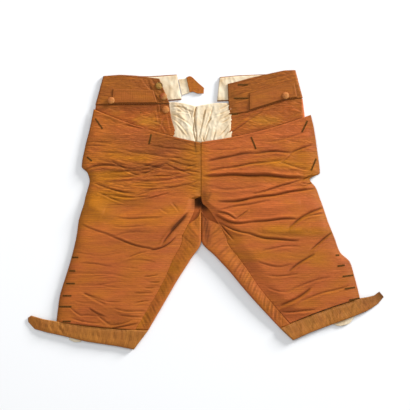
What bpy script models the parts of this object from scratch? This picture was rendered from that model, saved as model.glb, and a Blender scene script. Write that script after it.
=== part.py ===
"""Knee breeches with a whole fall front, laid flat on their back with the fall unbuttoned.

Metres, +Z up, +Y towards the waist. The origin is on the surface that they lie on, under the
middle of their outline. The tables are in millimetres and measure each side from the same two
lines: "out" runs outwards from the centre seam, and "down" runs from the top of the waist.
"""
import math
from collections import namedtuple

import bmesh
import bpy
from mathutils import Vector

MM = 0.001
LEFT, RIGHT = -1, 1

CENTRE_X = -10       # the centre seam, from the middle of the outline
WAIST_Y = 321        # the top of the waist, from the middle of the outline

# Thicknesses, and the gap that pieces keep to each other
CLOTH = 2.0          # silk, interlining and linen as one wall
FACING = 1.6         # the thinner silk of bearers, welts and strap
LINEN = 1.0
GAP = 0.3
SEAM = 0.5           # between two edges that are sewn together
ROLL_SEAM = 1.5      # where a front meets the rolled edge of its back
BAND_SEAM = 2.2      # and where a leg is set into its knee band

# Heights of the layers that lie on each other, from the surface up
LINING_LEVEL = CLOTH + GAP
FRONT_LEVEL = LINING_LEVEL + LINEN + GAP
WAISTBAND_TOP = FRONT_LEVEL + CLOTH
WELT_LEVEL = WAISTBAND_TOP + GAP
FALL_LEVEL = FRONT_LEVEL + FACING + GAP
ROLL_RADIUS = 3.2    # of the inseam edge that rolls on to the front
BAND_TOP = 6.6       # upper skin of a knee band where it lies double

# How finely the cloth is divided
ROW_SPACING = 18.0
FRONT_COLUMNS = 19
BACK_COLUMNS = 5
CURL_STEPS = 4
WRAP_STEPS = 2
STRIP_ROWS = 3

SIDE_SLOPE = 30.0    # breadth over which a front rises from its side seam
CENTRE_SLOPE = 16.0  # and over which it comes down to its inner seam
HIGHEST_HOLLOW = 3.5

BUTTON_RADIUS = 8.0
BUTTON_HEIGHT = 3.6
BUTTON_SIDES = 14

# A level is one line across a panel: its side end, its inner end and what the cloth does there.
Fall = namedtuple("Fall", "side_out side_down inner_out inner_down sag inset side_lift lift")
FALL = {
    LEFT: [
        # side_out, side_down, inner_out, inner_down, sag, inset, side_lift, lift
        Fall(247, 90, 0, 167, 8, SEAM, 5.8, 5.8),     # top edge of the fall
        Fall(256, 133, 0, 188, 3, SEAM, 5.6, 5.8),
        Fall(267, 176, 0, 220, 0, SEAM, 4.2, 5.8),
        Fall(275, 222, 0, 248, 0, SEAM, 2.6, 5.4),    # drooping corner of the fall
        Fall(262, 236, 0, 258, 0, SEAM, 2.5, 5.2),
        Fall(257, 254, 0, 271, 0, SEAM, 2.5, 5.0),    # end of the slit
        Fall(262, 276, 0, 289, 0, SEAM, 2.5, 4.8),
        Fall(266, 289, 0, 298, 0, 16, 2.5, 4.7),      # the crotch seam pulls open
        Fall(270, 308, 0, 317, 0, 16, 2.5, 4.7),
    ],
    RIGHT: [
        Fall(251, 103, 0, 165, 8, SEAM, 5.8, 5.8),
        Fall(258, 133, 0, 188, 5, SEAM, 5.6, 5.8),
        Fall(265, 179, 0, 220, 0, SEAM, 4.2, 5.8),
        Fall(272, 236, 0, 253, 0, SEAM, 2.6, 5.4),
        Fall(249, 251, 0, 271, 0, SEAM, 2.5, 5.0),
        Fall(263, 271, 0, 289, 0, SEAM, 2.5, 4.8),
        Fall(272, 295, 0, 305, 0, 2, 2.5, 4.7),
        Fall(277, 308, 0, 317, 0, 14, 2.5, 4.7),
    ],
}

# Below the crotch front and back share their levels: wrap is the breadth of back that shows.
Leg = namedtuple("Leg", "side_out side_down fold_out fold_down sag wrap")
LEG = {
    LEFT: [
        Leg(282, 345, 0, 356, 0, 31),
        Leg(287, 381, 0, 391, 0, 45),
        Leg(299, 432, 26, 437, 0, 40),
        Leg(313, 478, 55, 483, 0, 31),
        Leg(326, 522, 84, 533, 0, 29),
        Leg(333, 577, 122, 598, 3, 29),               # top of the knee band
    ],
    RIGHT: [
        Leg(290, 347, 0, 356, 0, 40),
        Leg(305, 384, 0, 391, 0, 58),
        Leg(318, 418, 34, 430, 0, 49),                # top of the knee vent
        Leg(341, 441, 62, 460, 0, 42),
        Leg(351, 473, 96, 501, 0, 35),
        Leg(359, 503, 137, 547, -3, 30),
        Leg(364, 524, 180, 593, -5, 25),
    ],
}
LEG_SIDE_LIFT = 2.5
LEG_LIFT = 4.7

# The seat: curl is the angle, in degrees, that the inner edge has rolled through.
Seat = namedtuple("Seat", "side_out side_down inner_out inner_down sag wrap curl")
SEAT = {
    LEFT: [
        Seat(243, 82, 0, 85, -4, 5, 0),               # under the waistband
        Seat(250, 140, 0, 150, 0, 5, 0),
        Seat(256, 207, 0, 225, 0, 5, 0),
        Seat(257, 254, 0, 271, 0, 5, 0),
        Seat(270, 308, 0, 317, 0, 5, 0),
        Seat(273, 316, 0, 325, 0, 5, 90),
        Seat(276, 325, 0, 335, 0, 6, 180),
    ],
    RIGHT: [
        Seat(233, 66, 0, 85, -2, 5, 0),
        Seat(240, 126, 0, 150, 0, 5, 0),
        Seat(246, 195, 0, 225, 0, 5, 0),
        Seat(249, 251, 0, 271, 0, 5, 0),
        Seat(277, 308, 0, 317, 0, 5, 0),
        Seat(280, 316, 0, 325, 0, 5, 90),
        Seat(283, 325, 0, 335, 0, 6, 180),
    ],
}

# The largest folds of each front: a trough has a depth below zero, and bow curves it downwards.
Fold = namedtuple("Fold", "from_out from_down to_out to_down bow depth half_width")
FOLDS = {
    LEFT: [
        Fold(45, 280, 213, 345, 0, -2.0, 13),         # from the crotch to the thigh
        Fold(240, 250, 250, 350, 0, 1.0, 22),
        Fold(40, 333, 96, 404, -10, -2.0, 9),         # beside the rolled seam
        Fold(258, 228, 175, 224, -10, -1.6, 9),       # from the drooping corner
        Fold(280, 353, 92, 404, 12, -1.4, 10),
        Fold(293, 545, 201, 580, 4, -1.8, 11),        # over the knee band
        Fold(201, 580, 132, 547, 6, -1.8, 11),
        Fold(270, 566, 190, 540, 0, 1.0, 14),
    ],
    RIGHT: [
        Fold(12, 238, 224, 251, 3, -2.0, 9),          # from the drooping corner
        Fold(256, 271, 60, 302, 4, -1.8, 9),
        Fold(12, 209, 252, 170, 6, -1.4, 11),
        Fold(20, 224, 230, 206, 0, 1.0, 14),
        Fold(40, 330, 247, 327, 22, -1.8, 10),        # fan out from the crotch
        Fold(40, 345, 200, 388, 14, -1.6, 10),
        Fold(293, 376, 238, 420, 0, -1.6, 10),
        Fold(247, 500, 176, 544, -4, -1.8, 10),
        Fold(148, 471, 219, 468, 0, -1.2, 10),
    ],
}

# A rib is one line across a strip, from its upper edge to its lower one.
Rib = namedtuple("Rib", "top_out top_down low_out low_down height")
WAISTBAND_FRONT = {
    LEFT: [
        # top_out, top_down, low_out, low_down, height
        Rib(97, 20, 73, 77, WAISTBAND_TOP),           # centre front edge
        Rib(150, 13, 140, 78, WAISTBAND_TOP),
        Rib(187, 11, 187, 78, WAISTBAND_TOP),
    ],
    RIGHT: [
        Rib(60, 32, 63, 102, WAISTBAND_TOP),
        Rib(85, 26, 88, 99, WAISTBAND_TOP),
        Rib(109, 19, 109, 95, WAISTBAND_TOP),
        Rib(157, 8, 157, 80, WAISTBAND_TOP),
        Rib(190, 1, 193, 68, WAISTBAND_TOP),
    ],
}
WAISTBAND_SIDE = {
    LEFT: Rib(226, 14, 244, 80, 0),
    RIGHT: Rib(216, 0, 233, 64, 0),
}
WAISTBAND_BACK = {
    LEFT: [
        Rib(187, 13, 187, 77, 0),
        Rib(118, 14, 114, 74, 0),
        Rib(57, 10, 46, 68, 0),                       # centre back edge
    ],
    RIGHT: [
        Rib(157, 9, 157, 68, 0),
        Rib(84, 12, 84, 70, 0),
        Rib(42, 16, 36, 72, 0),
    ],
}

# Where each fob pocket welt lies on the front of its waistband, as parts of its length and depth
Welt = namedtuple("Welt", "front_end side_end upper lower")
WELT = {
    LEFT: Welt(0.17, 0.80, 0.48, 0.97),
    RIGHT: Welt(0.32, 0.95, 0.46, 0.97),
}

Panel = namedtuple("Panel", "side_out side_down inner_out inner_down sag")
BEARER = {
    LEFT: [
        Panel(243, 82, 74, 79, 0),
        Panel(240, 110, 70, 107, 0),
        Panel(232, 150, 58, 148, 0),
        Panel(224, 188, 50, 188, 0),
    ],
    RIGHT: [
        Panel(231, 67, 64, 104, 3),
        Panel(232, 98, 63, 118, 3),
        Panel(226, 150, 62, 156, 0),
        Panel(220, 190, 62, 194, 0),
    ],
}
SEAT_LINING = {
    LEFT: [
        Panel(100, 77, 12, 84, -6),
        Panel(100, 108, 15, 112, 0),
        Panel(100, 150, 12, 150, 0),
        Panel(100, 192, 12, 192, 0),
    ],
    RIGHT: [
        Panel(85, 80, -12, 84, -6),
        Panel(85, 108, -15, 112, 0),
        Panel(85, 150, -12, 150, 0),
        Panel(85, 192, -12, 192, 0),
    ],
}
# Gathers stand up where the linen is not held down by a bearer or by the fall.
GATHERS = {
    LEFT: [
        Fold(24, 92, 22, 138, 0, 1.5, 5),
        Fold(38, 96, 34, 134, 0, 1.2, 5),
        Fold(52, 108, 46, 136, 0, 1.0, 5),
    ],
    RIGHT: [
        Fold(-4, 90, -6, 140, 0, 1.4, 5),
        Fold(10, 90, 8, 138, 0, 1.6, 5),
        Fold(26, 88, 24, 140, 0, 1.2, 5),
        Fold(42, 92, 42, 140, 0, 1.4, 5),
    ],
}
GATHER_COLUMNS = 14

# Knee band: hem points below the leg's last level, at parts of its length from the side seam
Hem = namedtuple("Hem", "part low_out low_down")
BAND_FRONT = {
    LEFT: [Hem(0, 325, 609), Hem(0.33, 262, 624), Hem(0.66, 196, 634)],
    RIGHT: [Hem(0, 355, 564), Hem(0.33, 309, 581), Hem(0.66, 253, 602)],
}
BAND_FOLD = {LEFT: Hem(1, 155, 642), RIGHT: Hem(1, 210, 621)}
BAND_BACK = {
    LEFT: [Hem(0.66, 196, 634), Hem(0.1, 306, 612)],
    RIGHT: [Hem(0.66, 253, 602), Hem(0.1, 341, 569)],
}
BAND_TAB = {
    LEFT: [
        Rib(399, 569, 398, 579, 2.4),                 # end of the strap
        Rib(391, 564, 383, 595, 2.8),
        Rib(362, 572, 354, 603, 4.6),
    ],
    RIGHT: [
        Rib(409, 509, 419, 521, 2.4),
        Rib(396, 518, 405, 538, 2.8),
        Rib(382, 521, 381, 553, 4.6),
    ],
}

KNEE_LINING = [
    # across the leg, from inside the band to where the linen hangs out of it
    Panel(353, 556, 353, 565, 0),
    Panel(335, 560, 338, 583, 0),
    Panel(315, 566, 316, 588, 0),
    Panel(300, 572, 300, 583, 0),
]

BACK_STRAP = [
    Panel(53, 21, 45, 58, 0),
    Panel(31, 18, 22, 50, 0),
]
BACK_STRAP_TIP = [
    Panel(35, 17, 27, 51, 0),
    Panel(27, 14, 20, 50, 0),
    Panel(8, 29, 8, 54, 0),
    Panel(-6, 41, -5, 54, 0),
]
STRAP_TIP_HEIGHTS = [FACING + GAP, FACING + GAP, 1.2, 0.4]

Button = namedtuple("Button", "name side out down level")
BUTTONS = [
    Button("fall_button_left", LEFT, 207, 70, WELT_LEVEL + FACING + GAP),
    Button("fall_button_right", RIGHT, 193, 59, WELT_LEVEL + FACING + GAP),
    Button("front_button_1", LEFT, 97, 36, WAISTBAND_TOP + FACING + GAP),
    Button("front_button_2", LEFT, 87, 61, WAISTBAND_TOP + FACING + GAP),
    Button("front_button_3", LEFT, 82, 91, FRONT_LEVEL + FACING + GAP),
]


def clear_scene():
    for thing in list(bpy.data.objects):
        bpy.data.objects.remove(thing)


def new_collection(name):
    collection = bpy.data.collections.new(name)
    bpy.context.scene.collection.children.link(collection)
    return collection


def finish(name, colour, roughness):
    material = bpy.data.materials.new(name)
    material.use_nodes = True
    shader = material.node_tree.nodes["Principled BSDF"]
    shader.inputs["Base Color"].default_value = (*colour, 1.0)
    shader.inputs["Roughness"].default_value = roughness
    shader.inputs["Metallic"].default_value = 0.0
    return material


def place(side, spot, height):
    """A point in metres from its out and down measures and its height."""
    return Vector((CENTRE_X + side * spot.x, WAIST_Y - spot.y, height)) * MM


def ease(part):
    part = min(max(part, 0.0), 1.0)
    return part * part * (3 - 2 * part)


def steepness(stops, values):
    """Slopes of a curve through the values that never overshoots them."""
    runs = [b - a for a, b in zip(stops, stops[1:])]
    rises = [(b - a) / run for a, b, run in zip(values, values[1:], runs)]
    slopes = [rises[0]]
    for before, after in zip(rises, rises[1:]):
        same_way = before * after > 0
        slopes.append(2 * before * after / (before + after) if same_way else 0.0)
    return slopes + [rises[-1]]


def hermite(start, end, leave, arrive, part):
    """Between start and end, leaving and arriving at the given slopes."""
    square, cube = part ** 2, part ** 3
    return (start * (2 * cube - 3 * square + 1) + leave * (cube - 2 * square + part)
            + end * (3 * square - 2 * cube) + arrive * (cube - square))


def smooth_levels(levels, spacing):
    """The levels, with others on smooth curves between them, about a spacing apart."""
    middles = [Vector((level[0] + level[2], level[1] + level[3])) / 2 for level in levels]
    stops = [0.0]
    for before, after in zip(middles, middles[1:]):
        stops.append(stops[-1] + (after - before).length)
    columns = list(zip(*levels))
    slopes = [steepness(stops, column) for column in columns]
    smoothed = [levels[0]]
    for row, (start, end) in enumerate(zip(stops, stops[1:])):
        run = end - start
        steps = max(1, round(run / spacing))
        for step in range(1, steps + 1):
            values = [
                hermite(column[row], column[row + 1], slope[row] * run, slope[row + 1] * run,
                        step / steps)
                for column, slope in zip(columns, slopes)
            ]
            smoothed.append(type(levels[0])(*values))
    return smoothed


def ends(level):
    return Vector(level[0:2]), Vector(level[2:4])


def along(level, part, inset=0.0):
    """The point at a part of a level's length from its side end, with an inset left off."""
    side_end, inner_end = ends(level)
    part *= 1 - inset / (inner_end - side_end).length
    spot = side_end.lerp(inner_end, part)
    spot.y += level.sag * 4 * part * (1 - part)
    return spot


def fold_height(folds, spot):
    """How far the folds lift or sink the cloth at a spot."""
    total = 0.0
    for fold in folds:
        start, end = ends(fold)
        run = end - start
        part = (spot - start).dot(run) / run.length_squared
        nearest = start + run * min(max(part, 0.0), 1.0)
        sideways = Vector((0, fold.bow * 4 * part * (1 - part))) if 0 < part < 1 else Vector((0, 0))
        distance = (spot - nearest - sideways).length / fold.half_width
        total += fold.depth * math.exp(-distance ** 2)
    return total


def cloth(name, sections, thickness, material, collection, first_faces_up=True):
    """A wall lofted through sections of points: its skin is the sections, its body inside them."""
    rows, columns = len(sections) - 1, len(sections[0]) - 1
    bm = bmesh.new()
    bmesh.ops.create_grid(bm, x_segments=columns, y_segments=rows, size=0.5)
    corner = min(bm.verts, key=lambda vertex: vertex.co.x + vertex.co.y)
    for vertex in bm.verts:
        column = round((vertex.co.x + 0.5) * columns)
        row = round((vertex.co.y + 0.5) * rows)
        vertex.co = sections[row][column]
    bm.normal_update()
    if (corner.link_faces[0].normal.z > 0) != first_faces_up:
        bmesh.ops.reverse_faces(bm, faces=bm.faces)
    mesh = bpy.data.meshes.new(name)
    bm.to_mesh(mesh)
    bm.free()
    mesh.shade_smooth()
    mesh.materials.append(material)
    piece = bpy.data.objects.new(name, mesh)
    collection.objects.link(piece)
    wall = piece.modifiers.new("wall", "SOLIDIFY")
    wall.thickness = thickness * MM
    wall.offset = -1
    wall.use_even_offset = True
    return piece


def joined_levels(upper, leg):
    """Smoothed levels of a whole panel; its leg runs just as the other panel's leg does."""
    return smooth_levels(upper + leg[:1], ROW_SPACING) + smooth_levels(leg, ROW_SPACING)[1:]


def front_levels(side):
    """Levels of a whole front: its half of the fall, and then its leg."""
    leg = [
        Fall(*level[0:5], level.wrap + ROLL_SEAM, LEG_SIDE_LIFT, LEG_LIFT) for level in LEG[side]
    ]
    return joined_levels(FALL[side], leg)


def make_front(name, side, material, collection):
    sections = []
    for level in front_levels(side):
        side_end, inner_end = ends(level)
        breadth = (inner_end - side_end).length - level.inset
        section = []
        for column in range(FRONT_COLUMNS + 1):
            part = column / FRONT_COLUMNS
            spot = along(level, part, level.inset)
            from_side = ease(part * breadth / SIDE_SLOPE)
            from_inner = ease((1 - part) * breadth / CENTRE_SLOPE)
            underside = level.side_lift + (level.lift - level.side_lift) * from_side
            underside += fold_height(FOLDS[side], spot) * min(from_side, from_inner)
            lowest = FALL_LEVEL + GAP if spot.y < BEARER[side][-1].side_down + 10 else LINING_LEVEL
            lowest = min(lowest, level.side_lift) if from_side < 0.9 else lowest
            highest = CLOTH + HIGHEST_HOLLOW + 0.3
            underside = min(max(underside, lowest), highest)
            section.append(place(side, spot, underside + CLOTH))
        sections.append(section)
    return cloth(name, sections, CLOTH, material, collection)


def make_back(name, side, material, collection):
    """The back lies on the surface; from the crotch down its inner edge curls on to the front."""
    leg = [Seat(*level, 180) for level in LEG[side]]
    sections = []
    for level in joined_levels(SEAT[side], leg):
        side_end, inner_end = ends(level)
        angle = math.radians(level.curl)
        arc = ROLL_RADIUS * max(angle, math.pi / 2)
        tail = level.wrap - ROLL_RADIUS
        lengths = [arc * step / CURL_STEPS for step in range(CURL_STEPS + 1)]
        lengths += [arc + tail * step / WRAP_STEPS for step in range(1, WRAP_STEPS + 1)]
        curled = [curl(length, angle) for length in lengths]
        reach = max(inward for inward, up in curled) + SEAM / 2
        inward_way = (inner_end - side_end).normalized()
        section = []
        for column in range(BACK_COLUMNS):
            section.append(place(side, along(level, column / BACK_COLUMNS, reach), 0.0))
        start = inner_end - inward_way * reach
        for inward, up in curled:
            section.append(place(side, start + inward_way * inward, up))
        sections.append(section)
    return cloth(name, sections, CLOTH, material, collection, first_faces_up=False)


def curl(length, angle):
    """Inward and up from where the curl starts, after a length of a cloth curled to an angle."""
    turned = min(length / ROLL_RADIUS, angle)
    rest = length - turned * ROLL_RADIUS
    inward = ROLL_RADIUS * math.sin(turned) + rest * math.cos(angle)
    up = ROLL_RADIUS * (1 - math.cos(turned)) + rest * math.sin(angle)
    return inward, up


def doubled_strip(upper, fold, lower, radius):
    """Sections of a strip that lies on itself round a fold, from the upper layer to the lower."""
    sections = []
    for row in range(STRIP_ROWS + 1):
        part = row / STRIP_ROWS
        top_layer = [(Vector(rib[0:2]).lerp(Vector(rib[2:4]), part), rib.height) for rib in upper]
        low_layer = [(Vector(rib[0:2]).lerp(Vector(rib[2:4]), part), 0.0) for rib in lower]
        turn = Vector(fold[0:2]).lerp(Vector(fold[2:4]), part)
        way = (turn - top_layer[-1][0]).normalized()
        bend = []
        for step in range(CURL_STEPS + 1):
            angle = math.pi * step / CURL_STEPS
            spot = turn + way * radius * (math.sin(angle) - 1)
            bend.append((spot, radius * (1 + math.cos(angle))))
        sections.append(top_layer + bend + low_layer)
    return sections


def make_waistband(name, side, material, collection):
    ribs = doubled_strip(WAISTBAND_FRONT[side], WAISTBAND_SIDE[side], WAISTBAND_BACK[side],
                         WAISTBAND_TOP / 2)
    sections = [[place(side, spot, height) for spot, height in row] for row in ribs]
    return cloth(name, sections, CLOTH, material, collection)


def make_waistband_lining(name, side, material, collection):
    """Linen on the inner face of the back of the waistband, a little inside its edges."""
    margin = Vector((0, 2))
    sections = []
    for rib in WAISTBAND_BACK[side]:
        top, low = Vector(rib[0:2]) + margin, Vector(rib[2:4]) - margin
        sections.append([
            place(side, top.lerp(low, row / STRIP_ROWS), LINING_LEVEL + LINEN)
            for row in range(STRIP_ROWS + 1)
        ])
    return cloth(name, sections, LINEN, material, collection)


def waistband_point(side, part, depth):
    """A point on the front of a waistband, at parts of its length and of its depth."""
    ribs = WAISTBAND_FRONT[side] + [WAISTBAND_SIDE[side]]
    tops = [Vector(rib[0:2]) for rib in ribs]
    stops = [abs(top.x - tops[0].x) for top in tops]
    distance = part * stops[-1]
    for rib, following, start, end in zip(ribs, ribs[1:], stops, stops[1:]):
        if distance <= end:
            between = (distance - start) / (end - start)
            top = Vector(rib[0:2]).lerp(Vector(following[0:2]), between)
            low = Vector(rib[2:4]).lerp(Vector(following[2:4]), between)
            return top.lerp(low, depth)
    raise ValueError("part is past the end of the waistband")


def make_fob_welt(name, side, material, collection):
    """A welt on the front of the waistband, made from the waistband's points and moved out."""
    welt = WELT[side]
    columns = 6
    sections = []
    for row in range(STRIP_ROWS + 1):
        depth = welt.upper + (welt.lower - welt.upper) * row / STRIP_ROWS
        section = []
        for column in range(columns + 1):
            part = welt.front_end + (welt.side_end - welt.front_end) * column / columns
            spot = waistband_point(side, part, depth)
            section.append(place(side, spot, WELT_LEVEL + FACING))
        sections.append(section)
    return cloth(name, sections, FACING, material, collection)


def make_flat_panel(name, side, levels, height, thickness, columns, material, collection,
                    gathers=()):
    """A panel that lies flat on the layer below, with any gathers standing up from it."""
    sections = []
    for level in smooth_levels(levels, ROW_SPACING):
        section = []
        for column in range(columns + 1):
            spot = along(level, column / columns)
            lift = max(fold_height(gathers, spot), 0.0)
            section.append(place(side, spot, height + thickness + lift))
        sections.append(section)
    return cloth(name, sections, thickness, material, collection)


def make_knee_band(name, side, material, collection):
    last_level = LEG[side][-1]
    below_seam = Vector((0, BAND_SEAM))

    def rib(hem, height):
        top = along(last_level, hem.part) + below_seam
        return Rib(top.x, top.y, hem.low_out, hem.low_down, height)

    upper = BAND_TAB[side] + [rib(hem, BAND_TOP) for hem in BAND_FRONT[side]]
    lower = [rib(hem, 0.0) for hem in BAND_BACK[side]]
    ribs = doubled_strip(upper, rib(BAND_FOLD[side], 0.0), lower, BAND_TOP / 2)
    sections = [[place(side, spot, height) for spot, height in row] for row in ribs]
    return cloth(name, sections, CLOTH, material, collection)


def make_strap_tip(name, side, material, collection):
    """The strap's pointed end lies over its root and drops to the surface."""
    sections = []
    for level, height in zip(BACK_STRAP_TIP, STRAP_TIP_HEIGHTS):
        sections.append([
            place(side, along(level, row / STRIP_ROWS), height + FACING)
            for row in range(STRIP_ROWS + 1)
        ])
    return cloth(name, sections, FACING, material, collection)


def make_button(button, material, collection):
    """A cloth-covered button: a low dome turned about its own axis."""
    dome = [(0.0, 1.0), (0.45, 0.93), (0.82, 0.68), (1.0, 0.36), (0.86, 0.08), (0.0, 0.0)]
    bm = bmesh.new()
    points = [
        bm.verts.new((part * BUTTON_RADIUS * MM, 0.0, level * BUTTON_HEIGHT * MM))
        for part, level in dome
    ]
    for start, end in zip(points, points[1:]):
        bm.edges.new((start, end))
    mesh = bpy.data.meshes.new(button.name)
    bm.to_mesh(mesh)
    bm.free()
    mesh.materials.append(material)
    piece = bpy.data.objects.new(button.name, mesh)
    piece.location = place(button.side, Vector((button.out, button.down)), button.level)
    collection.objects.link(piece)
    turn = piece.modifiers.new("turn", "SCREW")
    turn.steps = BUTTON_SIDES
    turn.render_steps = BUTTON_SIDES
    turn.use_merge_vertices = True
    turn.merge_threshold = 0.00001
    return piece


def make_breeches():
    silk = finish("shot_silk", (0.46, 0.16, 0.045), 0.45)
    band_silk = finish("band_silk", (0.36, 0.17, 0.04), 0.45)
    waist_silk = finish("waistband_silk", (0.34, 0.13, 0.03), 0.5)
    bearer_silk = finish("bearer_silk", (0.60, 0.20, 0.04), 0.45)
    linen = finish("linen", (0.80, 0.70, 0.53), 0.8)
    button_silk = finish("button_silk", (0.38, 0.12, 0.03), 0.4)
    breeches = new_collection("knee_breeches")
    for side, word in ((LEFT, "left"), (RIGHT, "right")):
        make_back("back_" + word, side, silk, breeches)
        make_front("front_" + word, side, silk, breeches)
        make_flat_panel("bearer_" + word, side, BEARER[side], FRONT_LEVEL, FACING, 6,
                        bearer_silk, breeches)
        make_flat_panel("seat_lining_" + word, side, SEAT_LINING[side], LINING_LEVEL, LINEN,
                        GATHER_COLUMNS, linen, breeches, GATHERS[side])
        make_waistband("waistband_" + word, side, waist_silk, breeches)
        make_waistband_lining("waistband_lining_" + word, side, linen, breeches)
        make_fob_welt("fob_welt_" + word, side, waist_silk, breeches)
        make_knee_band("knee_band_" + word, side, band_silk, breeches)
    make_flat_panel("knee_lining_right", RIGHT, KNEE_LINING, LINING_LEVEL, LINEN, 2, linen, breeches)
    make_flat_panel("back_strap", LEFT, BACK_STRAP, 0.0, FACING, 3, linen, breeches)
    make_strap_tip("back_strap_tip", LEFT, waist_silk, breeches)
    for button in BUTTONS:
        make_button(button, button_silk, breeches)


clear_scene()
make_breeches()
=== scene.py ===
"""Knee breeches with a whole fall front, in ribbed shot silk, laid flat on their back.

Metres, +Z up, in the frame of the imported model. The tables are in millimetres and measure each
side from the same two lines: "out" runs outwards from the centre seam, and "down" runs from the
top of the waist. Heights are of the upper face of the cloth, from the table up.
"""
import math
from collections import namedtuple

import bmesh
import bpy
import numpy as np
from mathutils import Matrix, Vector, noise


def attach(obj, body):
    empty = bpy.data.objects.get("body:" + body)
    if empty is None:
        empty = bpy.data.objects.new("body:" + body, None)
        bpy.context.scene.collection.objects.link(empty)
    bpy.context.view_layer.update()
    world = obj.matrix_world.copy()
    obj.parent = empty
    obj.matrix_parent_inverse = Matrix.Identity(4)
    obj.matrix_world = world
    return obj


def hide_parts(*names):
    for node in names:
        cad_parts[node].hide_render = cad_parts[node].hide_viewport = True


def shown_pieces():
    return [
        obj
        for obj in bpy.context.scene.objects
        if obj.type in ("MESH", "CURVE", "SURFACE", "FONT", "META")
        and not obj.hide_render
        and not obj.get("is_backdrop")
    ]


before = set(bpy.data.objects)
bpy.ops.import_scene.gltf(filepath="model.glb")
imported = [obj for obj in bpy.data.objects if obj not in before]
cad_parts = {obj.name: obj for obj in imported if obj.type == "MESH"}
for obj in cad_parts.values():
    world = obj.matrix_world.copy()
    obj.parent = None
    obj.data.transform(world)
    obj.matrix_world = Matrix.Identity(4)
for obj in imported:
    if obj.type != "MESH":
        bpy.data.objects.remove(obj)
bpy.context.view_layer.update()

bpy.ops.object.select_all(action="DESELECT")


# ---------------------------------------------------------------------------------------------
# The table and the light
# A plain white table under soft studio light: one broad lamp low on the right, beyond the waist,
# and an even pale room all round. The camera hangs straight above the breeches.
# ---------------------------------------------------------------------------------------------
TABLE_SIDE = 14.0
TABLE_DROP = 0.0004
CAMERA_HEIGHT = 3.2
VIEW_BREADTH = 0.943
VIEW_CENTRE = (-0.0018, 0.011)
SENSOR = 36.0

bpy.ops.mesh.primitive_plane_add(size=TABLE_SIDE, location=(0, 0, -TABLE_DROP))
table = bpy.context.object
table.name = "table"
table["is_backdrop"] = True


def new_finish(name, **values):
    """A material, and its Principled shader with the given inputs set."""
    material = bpy.data.materials.new(name)
    material.use_nodes = True
    shader = material.node_tree.nodes["Principled BSDF"]
    for label, value in values.items():
        shader.inputs[label.replace("_", " ")].default_value = value
    return material, shader


table_white, table_shader = new_finish("table_white", Base_Color=(0.84, 0.845, 0.855, 1), Roughness=0.9)
table_shader.inputs["Specular IOR Level"].default_value = 0.1
table.data.materials.append(table_white)

room = bpy.data.worlds.new("pale_room")
room.use_nodes = True
background = room.node_tree.nodes["Background"]
background.inputs["Color"].default_value = (0.97, 0.985, 1.0, 1)
background.inputs["Strength"].default_value = 0.5
bpy.context.scene.world = room
bpy.context.scene.view_settings.view_transform = "Standard"

Lamp = namedtuple("Lamp", "name place size power")
LAMPS = [
    # name, place, size, power
    Lamp("window", (6.0, 4.8, 2.1), 2.0, 1180),
    Lamp("skylight", (-0.5, 0.9, 2.9), 1.6, 30),
]
for lamp in LAMPS:
    bpy.ops.object.light_add(type="AREA", location=lamp.place)
    light = bpy.context.object
    light.name = lamp.name
    light.data.size = lamp.size
    light.data.energy = lamp.power
    light.rotation_euler = (-Vector(lamp.place)).to_track_quat("-Z", "Y").to_euler()

bpy.ops.object.camera_add(location=(*VIEW_CENTRE, CAMERA_HEIGHT), rotation=(0, 0, 0))
camera = bpy.context.object
camera.name = "camera"
camera.data.sensor_width = SENSOR
camera.data.lens = SENSOR * CAMERA_HEIGHT / VIEW_BREADTH
camera.data.clip_end = 50
bpy.context.scene.camera = camera


# ---------------------------------------------------------------------------------------------
# The backs
# Each leg has one back piece of shot silk: copper warp, olive-gold weft, in fine ribs. It lies on
# the table, and from the crotch down its inner edge rolls up and over on to the front as a
# puckered strip, because the inseam sits on the front of the thigh.
# ---------------------------------------------------------------------------------------------
MM = 0.001
LEFT, RIGHT = -1, 1
SIDE_WORDS = ((LEFT, "left"), (RIGHT, "right"))
CENTRE_X = -10       # the centre seam, from the middle of the outline
WAIST_Y = 321        # the top of the waist, from the middle of the outline
SILK = 1.6           # silk with its linen backing
CLOTH = 2.0          # the wall that the model gives a whole layer
LINEN = 0.9
GAP = 0.3
LINING_LEVEL = CLOTH + GAP
FRONT_LEVEL = LINING_LEVEL + 1.0 + GAP
SEAM_HEIGHT = 7.2    # where a rolled back meets its front
SEAM_INSET = 0.05
SEAM_LAP = -0.3      # the right front laps over the left by this much

COPPER = (0.445, 0.104, 0.020)
GOLD = (0.44, 0.142, 0.005)


def rows(kind, *table):
    """The rows of a table, with their columns named as the kind names them."""
    return [kind(*row) for row in table]


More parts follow.
